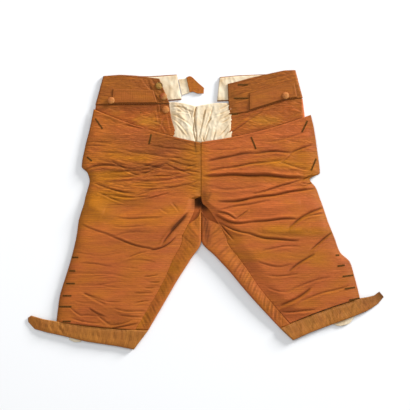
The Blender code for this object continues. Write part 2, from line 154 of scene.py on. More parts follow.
Leg = namedtuple("Leg", "side_out side_down fold_out fold_down sag wrap")
LEG = {LEFT: rows(Leg,
    # side_out, side_down, fold_out, fold_down, sag, wrap
    (282, 345, 0, 356, 0, 31),
    (287, 381, 0, 391, 0, 45),
    (299, 432, 26, 437, 0, 40),
    (313, 478, 55, 483, 0, 31),
    (326, 522, 84, 533, 0, 29),
    (333, 577, 122, 598, 3, 29),               # top of the knee band
), RIGHT: rows(Leg,
    (290, 347, 0, 356, 0, 40),
    (305, 384, 0, 391, 0, 58),
    (318, 418, 34, 430, 0, 49),                # top of the knee vent
    (341, 441, 62, 460, 0, 42),
    (351, 473, 96, 501, 0, 35),
    (359, 503, 137, 547, -3, 30),
    (364, 524, 180, 593, -5, 25),
)}
Seat = namedtuple("Seat", "side_out side_down inner_out inner_down sag wrap curl")
SEAT = {LEFT: rows(Seat,
    # side_out, side_down, inner_out, inner_down, sag, wrap, curl in degrees
    (243, 82, 0, 85, -4, 5, 0),
    (250, 140, 0, 150, 0, 5, 0),
    (256, 207, 0, 225, 0, 5, 0),
    (257, 254, 0, 271, 0, 5, 0),
    (270, 308, 0, 317, 0, 5, 0),
    (273, 316, 0, 325, 0, 5, 90),
    (276, 325, 0, 335, 0, 6, 180),
), RIGHT: rows(Seat,
    (233, 66, 0, 85, -2, 5, 0),
    (240, 126, 0, 150, 0, 5, 0),
    (246, 195, 0, 225, 0, 5, 0),
    (249, 251, 0, 271, 0, 5, 0),
    (277, 308, 0, 317, 0, 5, 0),
    (280, 316, 0, 325, 0, 5, 90),
    (283, 325, 0, 335, 0, 6, 180),
)}

# Puckers cross the strip where the roll has shortened it, deeper towards the knee band.
Pucker = namedtuple("Pucker", "down depth half_width slant")
PUCKERS = {LEFT: rows(Pucker,
    # down, depth, half_width, slant
    (341, -0.8, 3.5, 14),
    (352, -1.1, 3.0, 16),
    (360, 0.7, 4.5, 12),
    (372, -1.2, 3.5, 10),
    (383, -0.8, 3.0, 14),
    (397, -1.3, 4.0, 12),
    (416, -0.7, 3.5, 6),
    (429, -1.0, 3.0, 10),
    (452, -0.8, 4.0, 8),
    (478, -1.1, 3.5, 4),
    (497, -0.7, 3.0, 8),
    (511, -1.0, 4.0, 6),
    (533, -0.9, 3.0, 2),
    (549, -1.4, 3.5, 6),
    (561, -1.0, 3.0, 4),
    (571, -1.8, 4.0, 2),
    (582, -1.6, 3.5, 6),
), RIGHT: rows(Pucker,
    (344, -1.1, 4.0, 10),
    (359, -0.8, 3.5, 14),
    (375, -1.2, 4.0, 8),
    (398, -0.8, 3.0, 10),
    (417, -1.1, 3.5, 4),
    (438, -0.9, 3.0, 8),
    (455, -1.3, 3.5, 6),
    (468, -1.6, 3.5, 10),
    (481, -1.2, 3.0, 6),
    (492, -1.7, 3.5, 8),
    (507, -1.3, 3.5, 4),
    (522, -1.0, 3.0, 6),
    (535, -1.6, 3.5, 8),
    (546, -2.0, 3.5, 5),
    (556, -1.8, 3.0, 7),
    (566, -2.1, 3.5, 4),
    (577, -1.5, 3.0, 6),
)}

# Creases of the seat and the backs of the thighs, pressed up from the table
Crease = namedtuple("Crease", "from_out from_down to_out to_down bow depth half_width lean")
BACK_CREASES = {LEFT: rows(Crease,
    # from_out, from_down, to_out, to_down, bow, depth, half_width, lean
    (225, 268, 40, 300, 8, 1.3, 8, 0),
    (246, 306, 96, 322, -6, 1.1, 6, 0),
    (262, 345, 120, 372, 5, 1.4, 7, 0),
    (210, 392, 70, 380, 4, 1.0, 5, 0),
    (280, 421, 150, 437, -5, 1.2, 6, 0),
    (230, 470, 110, 462, 4, 0.9, 5, 0),
    (298, 503, 190, 522, 3, 1.3, 7, 0),
    (240, 552, 150, 543, -3, 1.0, 5, 0),
), RIGHT: rows(Crease,
    (218, 256, 52, 291, 6, 1.2, 7, 0),
    (252, 309, 84, 330, -5, 1.3, 7, 0),
    (270, 352, 140, 366, 7, 1.0, 5, 0),
    (286, 396, 120, 408, -4, 1.4, 8, 0),
    (240, 440, 130, 458, 5, 0.9, 5, 0),
    (318, 470, 180, 498, 4, 1.2, 6, 0),
    (300, 520, 220, 545, -3, 1.1, 6, 0),
)}


def ease(part):
    part = np.clip(part, 0.0, 1.0)
    return part * part * (3 - 2 * part)


def smooth(stops, values, at):
    """A curve through the values that never overshoots them, read at other stops."""
    stops, values, at = np.asarray(stops, float), np.asarray(values, float), np.asarray(at, float)
    runs = np.diff(stops)
    rises = np.diff(values) / runs
    sums = rises[:-1] + rises[1:]
    same_way = rises[:-1] * rises[1:] > 0
    inner = np.where(same_way, 2 * rises[:-1] * rises[1:] / np.where(same_way, sums, 1), 0)
    slopes = np.concatenate([rises[:1], inner, rises[-1:]])
    row = np.clip(np.searchsorted(stops, at, side="right") - 1, 0, len(runs) - 1)
    part = (at - stops[row]) / runs[row]
    square, cube = part ** 2, part ** 3
    return (values[row] * (2 * cube - 3 * square + 1)
            + slopes[row] * runs[row] * (cube - 2 * square + part)
            + values[row + 1] * (3 * square - 2 * cube)
            + slopes[row + 1] * runs[row] * (cube - square))


def smooth_levels(levels, spacing):
    """The levels as an array, with others on smooth curves between them."""
    table = np.array(levels, float)
    middles = (table[:, 0:2] + table[:, 2:4]) / 2
    steps = np.linalg.norm(np.diff(middles, axis=0), axis=1)
    stops = np.concatenate([[0], np.cumsum(steps)])
    at = np.linspace(0, stops[-1], max(2, round(stops[-1] / spacing)) + 1)
    return np.stack([smooth(stops, column, at) for column in table.T], axis=1)


def joined_levels(upper, leg, spacing):
    """Levels of a whole panel; its leg runs just as the other panel's leg does."""
    top = smooth_levels(upper + leg[:1], spacing)
    return np.vstack([top, smooth_levels(leg, spacing)[1:]])


def uneven(out, down, across, along, seed):
    """Noise from -1 to 1 whose patches are about so many millimetres across and along."""
    spots = zip(out.ravel() / across, down.ravel() / along)
    values = (noise.noise(Vector((x, y, seed))) for x, y in spots)
    return np.fromiter(values, float, out.size).reshape(out.shape)


def crumpled(out, down, across, along, seed):
    """Sharp-edged unevenness, as of pressed silk, from -1 to 1."""
    return 1 - 3.2 * np.abs(uneven(out, down, across, along, seed))


def hump(distance, middle, width):
    """A smooth rise to 1 about a middle, from 0 on both sides."""
    return np.exp(-((distance - middle) / width) ** 2)


# Widths of a crease's trough and ridge as shares of its half width, and the ridge's height as a
# share of the trough's depth
SHARP_WIDTH, SOFT_WIDTH, RIDGE_WIDTH, RIDGE_SHARE = 0.46, 0.9, 0.6, 0.55


def creased(creases, out, down):
    """How far the creases raise or sink the cloth; lean puts a ridge below or above a trough."""
    total = np.zeros(out.shape)
    for crease in creases:
        run_out = crease.to_out - crease.from_out
        run_down = crease.to_down - crease.from_down
        length = math.hypot(run_out, run_down)
        part = ((out - crease.from_out) * run_out + (down - crease.from_down) * run_down) / length ** 2
        held = np.clip(part, 0, 1)
        wander = 0.9 * np.sin(held * length / 13 + crease.from_down)
        line_down = crease.from_down + run_down * held + crease.bow * 4 * held * (1 - held) + wander
        line_out = crease.from_out + run_out * held
        downwards = 1 if run_out < 0 else -1
        across = ((out - line_out) * run_down - (down - line_down) * run_out) / length * downwards
        across /= crease.half_width
        past_end = (part - held) * length / (1.5 * crease.half_width)
        strength = (0.25 + 0.75 * np.sqrt(np.clip(4 * held * (1 - held), 0, 1))) * np.exp(-past_end ** 2)
        sharp = SHARP_WIDTH if crease.lean else SOFT_WIDTH
        profile = crease.depth * np.exp(-np.abs(across / sharp) ** 1.6)
        if crease.lean:
            ridge = hump(across, crease.lean, RIDGE_WIDTH)
            profile += RIDGE_SHARE * abs(crease.depth) * ridge
        total += profile * strength
    return total


DARK_DEPTH = 2.6     # a crease this deep is dark at its bottom
DARK_WIDTH = 0.36    # the dark line as a share of the crease's half width
SHALLOW = -0.6       # a crease less deep than this has no dark line


def crease_lines(creases, out, down):
    """The narrow bottoms of the sharp creases, where little light comes, from 0 to 1."""
    narrow = [crease._replace(depth=min(-crease.depth / DARK_DEPTH, 1), lean=0,
                              half_width=crease.half_width * DARK_WIDTH)
              for crease in creases if crease.lean and crease.depth < SHALLOW]
    return np.clip(creased(narrow, out, down), 0, 1)


def at_least(height, lowest):
    """The height, rounded off where it would sink below the lowest one."""
    over = height - lowest
    return lowest + over / 2 + np.sqrt(over ** 2 / 4 + 0.05)


def lit_share(out, down, height):
    """How far a surface tips away from the waist, from -1 to 1. The callers paint the weft's gold on slopes
    that tip towards the waist and the lamp beyond it, as the shot silk changes hue under the light: painted
    sheen.
    """
    along_rows = np.gradient(height, axis=0) / np.maximum(np.hypot(
        np.gradient(out, axis=0), np.gradient(down, axis=0)), 0.2)
    along_columns = np.gradient(height, axis=1) / np.maximum(np.hypot(
        np.gradient(out, axis=1), np.gradient(down, axis=1)), 0.2)
    return np.clip(-along_rows * 1.2 + 0.35 * np.abs(along_columns), -1, 1)


def sewn_cloth(name, side, out, down, height, thickness, material, turn=None, shade=None,
               rumple=None, weave=None, skin_up=True):
    """A wall of cloth whose skin is the given grid of out, down and height, in millimetres."""
    rows, columns = out.shape
    points = np.stack([CENTRE_X + side * out, WAIST_Y - down, height], axis=-1).reshape(-1, 3) * MM
    first = (np.arange(rows - 1)[:, None] * columns + np.arange(columns - 1)).reshape(-1, 1)
    faces = first + np.array([0, 1, columns + 1, columns])
    a, b, c = (points[faces[0][corner]] for corner in (0, 1, 2))
    if (np.cross(b - a, c - b)[2] > 0) != skin_up:
        faces = faces[:, ::-1]
    mesh = bpy.data.meshes.new(name)
    mesh.from_pydata(points.tolist(), [], faces.tolist())
    weave_u, weave_v = weave if weave else (out, down)
    corners = faces.reshape(-1)
    uvs = np.stack([weave_u.reshape(-1)[corners], weave_v.reshape(-1)[corners]], axis=1) * MM
    mesh.uv_layers.new(name="weave").data.foreach_set("uv", uvs.reshape(-1))
    for label, values in (("turn", turn), ("shade", shade), ("rumple", rumple)):
        values = np.zeros(out.shape) if values is None else values + np.zeros(out.shape)
        attribute = mesh.attributes.new(label, "FLOAT", "POINT")
        attribute.data.foreach_set("value", values.reshape(-1).astype(np.float32))
    mesh.materials.append(material)
    mesh.shade_smooth()
    piece = bpy.data.objects.new(name, mesh)
    bpy.context.collection.objects.link(piece)
    wall = piece.modifiers.new("wall", "SOLIDIFY")
    wall.thickness = thickness * MM
    wall.offset = -1
    bpy.context.view_layer.objects.active = piece
    bpy.ops.object.modifier_apply(modifier="wall")
    return piece


Cut = namedtuple("Cut", "width length area")


def lay(piece, node):
    """The piece stands for its node and rides on the one body."""
    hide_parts(node)
    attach(piece, "root")


def add_group(name, inputs, outputs):
    """An empty shader group with the given sockets: (name, kind, default) and (name, kind)."""
    group = bpy.data.node_groups.new(name, "ShaderNodeTree")
    for label, kind, default in inputs:
        socket = group.interface.new_socket(name=label, in_out="INPUT", socket_type=kind)
        socket.default_value = default
    for label, kind in outputs:
        group.interface.new_socket(name=label, in_out="OUTPUT", socket_type=kind)
    return group, group.nodes.new("NodeGroupInput"), group.nodes.new("NodeGroupOutput")


def add_math(tree, operation, first, second=None):
    """A math node on two sockets or numbers; returns its output."""
    node = tree.nodes.new("ShaderNodeMath")
    node.operation = operation
    for socket, value in zip(node.inputs, (first, second)):
        if isinstance(value, bpy.types.NodeSocket):
            tree.links.new(value, socket)
        elif value is not None:
            socket.default_value = value
    return node.outputs[0]


def add_sum(tree, start, *terms):
    """Math nodes that add each (socket, weight) to a start; returns their output."""
    total = start
    for socket, weight in terms:
        total = add_math(tree, "ADD", total, add_math(tree, "MULTIPLY", socket, weight))
    return total


def add_mix(tree, kind, share, first, second):
    """A colour mix of the two sockets or colours; returns its output."""
    node = tree.nodes.new("ShaderNodeMix")
    node.data_type = "RGBA"
    node.blend_type = kind
    for label, value in (("Factor", share), ("A", first), ("B", second)):
        socket = next(s for s in node.inputs if s.name == label and s.enabled)
        if isinstance(value, bpy.types.NodeSocket):
            tree.links.new(value, socket)
        else:
            socket.default_value = value
    return next(s for s in node.outputs if s.enabled)


def add_noise(tree, coordinates, scale, detail, turned=0.0):
    """Noise on coordinates that are first stretched by a scale along each axis, and turned."""
    if turned:
        turning = tree.nodes.new("ShaderNodeMapping")
        turning.inputs["Rotation"].default_value = (0, 0, math.radians(turned))
        tree.links.new(coordinates, turning.inputs["Vector"])
        coordinates = turning.outputs["Vector"]
    mapping = tree.nodes.new("ShaderNodeMapping")
    mapping.inputs["Scale"].default_value = scale
    texture = tree.nodes.new("ShaderNodeTexNoise")
    texture.inputs["Scale"].default_value = 1.0
    texture.inputs["Detail"].default_value = detail
    tree.links.new(coordinates, mapping.inputs["Vector"])
    tree.links.new(mapping.outputs["Vector"], texture.inputs["Vector"])
    return texture.outputs["Fac"]


def add_rumple(tree, coordinates, scale, turned):
    """Thin uneven lines where a noise crosses its middle, from 0 to 1, as of tiny creases."""
    spots = add_noise(tree, coordinates, scale, 1.5, turned)
    away = add_math(tree, "ABSOLUTE", add_math(tree, "SUBTRACT", spots, 0.5))
    line = add_math(tree, "SUBTRACT", 1.0, add_math(tree, "MULTIPLY", away, 8.0))
    line.node.use_clamp = True
    return line


CORDS_PER_METRE = 215     # broader cords that show through the ribs
DEEP_SHADE = (0.014, 0.0035, 0.0)


def make_ribbed_weave():
    """Ribbed shot silk: weft ribs with slubs, two colours that trade places as the cloth turns."""
    group, given, result = add_group(
        "ribbed_shot_weave",
        [("Weave", "NodeSocketVector", (0, 0, 0)), ("Warp", "NodeSocketColor", (1, 1, 1, 1)),
         ("Weft", "NodeSocketColor", (1, 1, 1, 1)), ("Turn", "NodeSocketFloat", 0.0),
         ("Shade", "NodeSocketFloat", 0.0), ("Rumple", "NodeSocketFloat", 0.0),
         ("Ribs", "NodeSocketFloat", 900.0)],
        [("Color", "NodeSocketColor"), ("Roughness", "NodeSocketFloat"),
         ("Height", "NodeSocketFloat")])
    weave = given.outputs["Weave"]
    split = group.nodes.new("ShaderNodeSeparateXYZ")
    group.links.new(weave, split.inputs[0])
    wander = add_noise(group, weave, (14, 14, 1), 1.0)
    bent = add_sum(group, split.outputs["Y"], (wander, 0.004))
    turns = add_math(group, "MULTIPLY", add_math(group, "MULTIPLY", bent, given.outputs["Ribs"]),
                     2 * math.pi)
    rib = add_sum(group, 0.5, (add_math(group, "SINE", turns), 0.5))
    rumples = add_math(group, "MAXIMUM", add_rumple(group, weave, (17, 105, 1), 13),
                       add_rumple(group, weave, (21, 90, 1), -16))
    rumples = add_math(group, "MULTIPLY", rumples, given.outputs["Rumple"])
    slubs = add_noise(group, weave, (22, 430, 1), 2.0)
    bars = add_noise(group, weave, (9, 190, 1), 2.0)
    clouds = add_noise(group, weave, (16, 26, 1), 3.0)
    grain = add_noise(group, weave, (150, 300, 1), 3.0)
    streaks = add_noise(group, weave, (26, 620, 1), 1.0)
    threads = add_noise(group, weave, (1300, 120, 1), 1.0)
    cords = add_math(group, "SINE", add_math(group, "MULTIPLY", bent, 2 * math.pi * CORDS_PER_METRE))
    cords = add_math(group, "MULTIPLY", cords, clouds)
    golden = add_sum(group, given.outputs["Turn"], (add_math(group, "SUBTRACT", slubs, 0.5), 0.5),
                     (add_math(group, "SUBTRACT", clouds, 0.5), 0.7))
    golden.node.use_clamp = True
    colour = add_mix(group, "MIX", golden, given.outputs["Warp"], given.outputs["Weft"])
    # The light term darkens the colour in the rumple lines and the valleys of the ribs as painted shade; its
    # other terms are the weave's own bars, grain, streaks, cords, slubs and threads.
    light = add_sum(group, 0.32, (bars, 0.28), (grain, 0.34), (streaks, 0.34), (cords, 0.13),
                    (slubs, 0.2), (rumples, -0.34), (rib, 0.16), (threads, 0.16))
    colour = add_mix(group, "MULTIPLY", 1.0, colour, light)
    # The Shade input paints shade: it mixes the colour towards near black.
    colour = add_mix(group, "MIX", given.outputs["Shade"], colour, (*DEEP_SHADE, 1))
    group.links.new(colour, result.inputs["Color"])
    rough = add_sum(group, 0.36, (slubs, 0.2), (given.outputs["Shade"], 0.5))
    group.links.new(rough, result.inputs["Roughness"])
    height = add_sum(group, rib, (bars, 1.3), (slubs, 0.8), (rumples, -4.5))
    group.links.new(height, result.inputs["Height"])
    return group


def woven_finish(material, shader, group, inputs, attributes, bump_height, bump_strength, turned=0):
    """Joins a weave's group to a shader; the weave is read on the cloth's own weave map."""
    tree = material.node_tree
    weave = tree.nodes.new("ShaderNodeGroup")
    weave.node_tree = group
    for label, value in inputs.items():
        weave.inputs[label].default_value = value
    uv = tree.nodes.new("ShaderNodeUVMap")
    uv.uv_map = "weave"
    mapping = tree.nodes.new("ShaderNodeMapping")
    mapping.inputs["Rotation"].default_value = (0, 0, math.radians(turned))
    tree.links.new(uv.outputs["UV"], mapping.inputs["Vector"])
    tree.links.new(mapping.outputs["Vector"], weave.inputs["Weave"])
    for label in attributes:
        attribute = tree.nodes.new("ShaderNodeAttribute")
        attribute.attribute_name = label
        tree.links.new(attribute.outputs["Fac"], weave.inputs[label.capitalize()])
    bump = tree.nodes.new("ShaderNodeBump")
    bump.inputs["Distance"].default_value = bump_height
    bump.inputs["Strength"].default_value = bump_strength
    tree.links.new(weave.outputs["Height"], bump.inputs["Height"])
    tree.links.new(bump.outputs["Normal"], shader.inputs["Normal"])
    tree.links.new(weave.outputs["Color"], shader.inputs["Base Color"])
    tree.links.new(weave.outputs["Roughness"], shader.inputs["Roughness"])
    return material


def ribbed_silk(name, warp, weft, ribs_per_metre=900.0, crosswise=False):
    """A finish of ribbed shot silk; crosswise turns its ribs along the other grain."""
    material, shader = new_finish(name, Sheen_Weight=0.05, Sheen_Roughness=0.45,
                                  Sheen_Tint=(1.0, 0.6, 0.28, 1))
    shader.inputs["Specular IOR Level"].default_value = 0.18
    inputs = {"Warp": (*warp, 1), "Weft": (*weft, 1), "Ribs": ribs_per_metre}
    return woven_finish(material, shader, ribbed_weave, inputs, ("turn", "shade", "rumple"),
                        0.00035, 0.7, 90 if crosswise else 0)


def pucker_lift(side, at_down, part, fade):
    """Puckers on and beside the strip: part runs over it from the roll, fade takes them away."""
    total = np.zeros(at_down.shape)
    for pucker in PUCKERS[side]:
        for later, share in ((0, 0.6), (6.5, 0.4)):
            line = at_down + (pucker.slant + 18) * (part - 0.5) - pucker.down - later
            away = line / (0.62 * pucker.half_width)
            total += share * pucker.depth * np.exp(-np.abs(away) ** 1.6)
            total += 0.4 * share * abs(pucker.depth) * hump(away, 1.7, 1.1)
    return total * fade


ROW_STEP = 2.4
ROLL_START = 335      # how far down the back's edge is rolled right over
ROLL_RADIUS = 3.2
ROLL_SWELL = 2.4      # how much fuller the roll is at mid thigh
BACK_PRESSED = 205    # above this the back lies flat under the linings and the bearers
HOLLOW = (4, 303)     # out and down of the hollow in the crotch, where the back is painted dark as shade
HOLLOW_BREADTH = 17
HOLLOW_LENGTH = {LEFT: 15, RIGHT: 24}
LOW = 3.0             # height of what lies deep in the hollow
GOLDEN_SHARE = {LEFT: 0.5, RIGHT: 0.25}
# A fold down the right strip, painted dark as shade
SHADED_FOLD = Crease(17, 404, 7, 312, 0, 1.1, 13, 0)
FLAT_STEPS, CURL_STEPS, STRIP_STEPS = 44, 14, 22

ribbed_weave = make_ribbed_weave()
shot_silk = ribbed_silk("shot_silk", COPPER, GOLD)


def lighten_underside(piece):
    """Clear the shade of the hollow from the side of a back that lies on the table."""
    spots = np.empty(len(piece.data.vertices) * 3)
    piece.data.vertices.foreach_get("co", spots)
    shades = np.empty(len(piece.data.vertices), np.float32)
    piece.data.attributes["shade"].data.foreach_get("value", shades)
    shades[spots[2::3] < 0.3 * MM] = 0
    piece.data.attributes["shade"].data.foreach_set("value", shades)


def make_back(side, word):
    leg = [Seat(*level, 180) for level in LEG[side]]
    levels = joined_levels(SEAT[side], leg, ROW_STEP)
    side_end, inner_end = levels[:, 0:2], levels[:, 2:4]
    sag, wrap, angle = levels[:, 4:5], levels[:, 5:6], np.radians(np.clip(levels[:, 6:7], 0, 180))
    run = inner_end - side_end
    length = np.linalg.norm(run, axis=1, keepdims=True)
    way = run / length
    on_leg = np.clip((inner_end[:, 1:2] - ROLL_START) / (LEG[side][-1].fold_down - ROLL_START), 0, 1)
    radius = ROLL_RADIUS + ROLL_SWELL * np.sin(math.pi * on_leg) ** 0.6
    radius = np.minimum(radius, wrap - 1.0)
    arc = radius * np.maximum(angle, math.pi / 2)
    tail = np.maximum(wrap - radius, 0.5)
    curl_part = np.linspace(0, 1, CURL_STEPS + 1)[None, :]
    tail_part = np.linspace(0, 1, STRIP_STEPS + 1)[None, 1:]
    lengths = np.hstack([arc * curl_part, arc + tail * tail_part])
    turned = np.minimum(lengths / radius, angle)
    rest = lengths - turned * radius
    inward = radius * np.sin(turned) + rest * np.cos(angle)
    up = radius * (1 - np.cos(turned)) + rest * np.sin(angle)
    reach = inward.max(axis=1, keepdims=True) + 0.25
    flat_part = np.linspace(0, 1, FLAT_STEPS)[None, :-1] * (1 - reach / length)
    flat_out = side_end[:, 0:1] + run[:, 0:1] * flat_part
    flat_down = side_end[:, 1:2] + run[:, 1:2] * flat_part + sag * 4 * flat_part * (1 - flat_part)
    start = inner_end - way * reach
    out = np.hstack([flat_out, start[:, 0:1] + way[:, 0:1] * inward])
    down = np.hstack([flat_down, start[:, 1:2] + way[:, 1:2] * inward])
    over = angle / math.pi
    strip = np.hstack([np.zeros(flat_out.shape), np.zeros((len(levels), CURL_STEPS + 1)),
                       np.ones((len(levels), 1)) * tail_part])
    crest = 2 * radius + 1.2 * np.sin(math.pi * on_leg)
    up[:, CURL_STEPS + 1:] += (over ** 4) * (
        (SEAM_HEIGHT - 2 * radius) * ease(tail_part)
        + (crest - 2 * radius) * np.sin(math.pi * tail_part))
    height = np.hstack([np.zeros(flat_out.shape), up])
    on_top = over ** 4 * np.sin(math.pi * np.clip(strip * 0.96 + 0.02 * (strip > 0), 0, 1)) ** 0.5
    seam_down = np.repeat(inner_end[:, 1:2], out.shape[1], axis=1)
    puckers = pucker_lift(side, seam_down, strip, on_top)
    height += puckers
    height += on_top * 0.35 * crumpled(out, down, 16, 9, 4.0 + side)
    flat_room = ease((seam_down - BACK_PRESSED) / 30) * (strip == 0) * (height < 0.01)
    from_edges = ease(flat_part / 0.06) * ease((1 - flat_part * 1.02) / 0.1)
    lift = np.maximum(creased(BACK_CREASES[side], flat_out, flat_down), 0)
    lift += 0.25 * np.maximum(crumpled(flat_out, flat_down, 60, 15, 9.0 + side), 0)
    flats = flat_out.shape[1]
    height[:, :flats] += np.minimum(lift, 1.9) * from_edges * flat_room[:, :flats]
    # The gold over the roll and the strip is partly the weft's own colour and partly painted sheen where the
    # cloth curves over; the uneven term is tone that differs at random.
    golden = GOLDEN_SHARE[side]
    turn = 0.12 + golden * ease((strip + 0.001) / 0.05) * over
    turn = np.where(height > radius * 0.8, np.maximum(turn, golden), turn)
    turn += 0.35 * uneven(out, down, 30, 40, 2.0 + side)
    # Painted shade: the back darkens near black where it lies low in the hollow of the crotch, in the
    # troughs of the puckers, and a little over the rolled part of the leg.
    from_hollow = ((out - HOLLOW[0]) / HOLLOW_BREADTH) ** 4
    from_hollow = from_hollow + ((down - HOLLOW[1]) / HOLLOW_LENGTH[side]) ** 4
    deep = 0.96 * np.exp(-from_hollow) * (height < LOW)
    deep = np.maximum(deep, np.clip(0.2 * over - 0.5 * puckers, 0, 0.5))
    if side == RIGHT:
        # On the right a fold down the strip is painted dark in stripes as shade, and loses its gold there.
        fold_shade = np.clip(creased([SHADED_FOLD], out, down), 0, 1)
        folds = 0.5 + 0.5 * np.sin((out + 0.2 * down) * 0.9)
        deep = np.maximum(deep, (0.5 + 0.22 * folds) * fold_shade * (height >= LOW))
        out = out + SEAM_LAP * 1.5 * np.exp(-(inner_end[:, 0:1] / 6) ** 2)
        turn *= 1 - 0.9 * fold_shade
    piece = sewn_cloth("back_" + word + "_silk", side, out, down, height, SILK, shot_silk,
                       turn=turn, shade=deep, skin_up=False)
    lighten_underside(piece)
    return piece


for side, word in SIDE_WORDS:
    lay(make_back(side, word), "back_" + word)


# ---------------------------------------------------------------------------------------------
# The waistband
# Each half is a straight strip of silk, interlined, folded at the side where the breeches were
# laid flat: its front half shows its right side, its back half shows the linen it is lined with.
# ---------------------------------------------------------------------------------------------
WAISTBAND_TOP = FRONT_LEVEL + CLOTH
BAND_STEP = 2.4
BAND_ROWS = 30
BAND_DEPTH = 64

Rib = namedtuple("Rib", "top_out top_down low_out low_down height")
WAISTBAND_FRONT = {LEFT: rows(Rib,
    # top_out, top_down, low_out, low_down, height
    (97, 20, 73, 77, WAISTBAND_TOP),           # centre front edge
    (150, 13, 140, 78, WAISTBAND_TOP),
    (187, 11, 187, 78, WAISTBAND_TOP),
), RIGHT: rows(Rib,
    (60, 32, 63, 102, WAISTBAND_TOP),
    (85, 26, 88, 99, WAISTBAND_TOP),
    (109, 19, 109, 95, WAISTBAND_TOP),
    (157, 8, 157, 80, WAISTBAND_TOP),
    (190, 1, 193, 68, WAISTBAND_TOP),
)}
WAISTBAND_SIDE = {LEFT: Rib(226, 14, 244, 80, 0), RIGHT: Rib(216, 0, 233, 64, 0)}
WAISTBAND_BACK = {LEFT: rows(Rib,
    (187, 13, 187, 77, 0),
    (118, 14, 114, 74, 0),
    (57, 10, 46, 68, 0),                       # centre back edge
), RIGHT: rows(Rib,
    (157, 9, 157, 68, 0),
    (84, 12, 84, 70, 0),
    (42, 16, 36, 72, 0),
)}
WAISTBAND_CREASES = {LEFT: rows(Crease,
    # from_out, from_down, to_out, to_down, bow, depth, half_width, lean
    (227, 27, 128, 31, -2, -0.9, 3, 1),
    (222, 20, 162, 24, 1, -0.7, 2.8, 1),
    (231, 39, 206, 46, 0, -0.8, 3, 1),
    (238, 55, 208, 62, 1, -0.9, 3, -1),
    (238, 66, 215, 71, 0, -0.7, 3, 1),
    (135, 20, 116, 46, 1, -1.2, 3.4, 1),
    (123, 25, 100, 69, 2, -1.6, 3.4, -1),
    (114, 20, 91, 52, 2, -1.8, 3.4, 1),
    (109, 46, 84, 73, 1, -1.4, 3.2, 1),
    (105, 57, 89, 78, 1, -1.2, 3, -1),
    (187, 14, 146, 20, 0, -0.6, 3, 1),
), RIGHT: rows(Crease,
    (139, 28, 61, 50, -2, -1.3, 3.2, 1),
    (204, 10, 89, 28, 2, -1.1, 3.2, -1),
    (217, 13, 139, 33, 1, -1.1, 3.2, 1),
    (109, 48, 63, 62, 1, -1.2, 3, -1),
    (139, 57, 66, 78, -1, -1, 3, 1),
    (112, 73, 68, 89, 1, -1.1, 3, 1),
    (208, 48, 139, 69, 1, -0.9, 3, -1),
    (222, 36, 194, 50, 1, -1, 3, 1),
    (222, 23, 190, 32, 0, -0.8, 3, 1),
    (102, 63, 70, 69, 0, -0.8, 2.8, 1),
    (68, 89, 57, 69, 0, -0.8, 2.8, 1),
)}


def doubled_strip(upper, fold, lower, radius, steps):
    """Grids of a strip that lies on itself round a fold: out, down, height and how far along."""
    outs, downs, heights, lengths = [], [], [], []
    for part in np.linspace(0, 1, steps + 1):
        def spot(rib):
            return np.array(rib[0:2]) * (1 - part) + np.array(rib[2:4]) * part
        path = [(*spot(rib), rib.height) for rib in upper]
        turn, last = spot(fold), spot(upper[-1])
        way = (turn - last) / np.linalg.norm(turn - last)
        for angle in np.linspace(0, math.pi, 11):
            bend = turn + way * radius * (math.sin(angle) - 1)
            path.append((*bend, radius * (1 + math.cos(angle))))
        path += [(*spot(rib), 0.0) for rib in lower]
        path = np.array(path)
        stops = np.concatenate([[0], np.cumsum(np.linalg.norm(np.diff(path, axis=0), axis=1))])
        count = len(outs[0]) if outs else round(stops[-1] / BAND_STEP) + 1
        at = np.linspace(0, stops[-1], count)
        outs.append(np.interp(at, stops, path[:, 0]))
        downs.append(np.interp(at, stops, path[:, 1]))
        heights.append(np.interp(at, stops, path[:, 2]))
        lengths.append(at)
    return np.array(outs), np.array(downs), np.array(heights), np.array(lengths)


waist_silk = ribbed_silk("waistband_silk", (0.335, 0.089, 0.013), (0.355, 0.12, 0.007), 800)


def make_waistband(side, word):
    out, down, height, run = doubled_strip(
        WAISTBAND_FRONT[side], WAISTBAND_SIDE[side], WAISTBAND_BACK[side], WAISTBAND_TOP / 2, BAND_ROWS)
    on_front = ease((height - WAISTBAND_TOP * 0.8) / (WAISTBAND_TOP * 0.2))
    part = np.linspace(0, 1, BAND_ROWS + 1)[:, None] * np.ones(out.shape)
    body = 1.1 * np.sin(math.pi * np.clip(part, 0.02, 0.98)) ** 0.5
    height += on_front * (body + creased(WAISTBAND_CREASES[side], out, down)
                          + 0.3 * crumpled(out, down, 34, 12, 21 + side))
    for edge in (part * BAND_DEPTH, (1 - part) * BAND_DEPTH, run):
        height += on_front * (0.5 * hump(edge, 1.6, 1.6)
                              - 0.35 * hump(edge, 4.8, 1.0))
    height = np.where(on_front > 0, np.maximum(height, WAISTBAND_TOP * on_front - 0.1), height)
    # The slope term in the tone is painted sheen. Painted shade: at the bottoms of the creases, towards the
    # front end, along the top edge and over the fold at the side; the uneven term is tone that differs at
    # random.
    turn = 0.25 + 0.3 * uneven(out, down, 40, 24, 6.0 + side) - 0.5 * lit_share(out, down, height) * on_front
    shade = on_front * 0.6 * crease_lines(WAISTBAND_CREASES[side], out, down)
    shade += 0.3 * np.exp(-run / 14) + 0.2 * np.exp(-part * BAND_DEPTH / 3)
    shade += 0.1 * uneven(out, down, 30, 14, 16)
    shade += 0.25 * (1 - on_front) * (run < run[:, -1:] / 2)
    shade = np.clip(shade, 0, 0.85)
    return sewn_cloth("waistband_" + word + "_silk", side, out, down, height, SILK, waist_silk,
                      turn=turn, shade=shade, rumple=0.7, weave=(run, part * BAND_DEPTH))


for side, word in SIDE_WORDS:
    lay(make_waistband(side, word), "waistband_" + word)


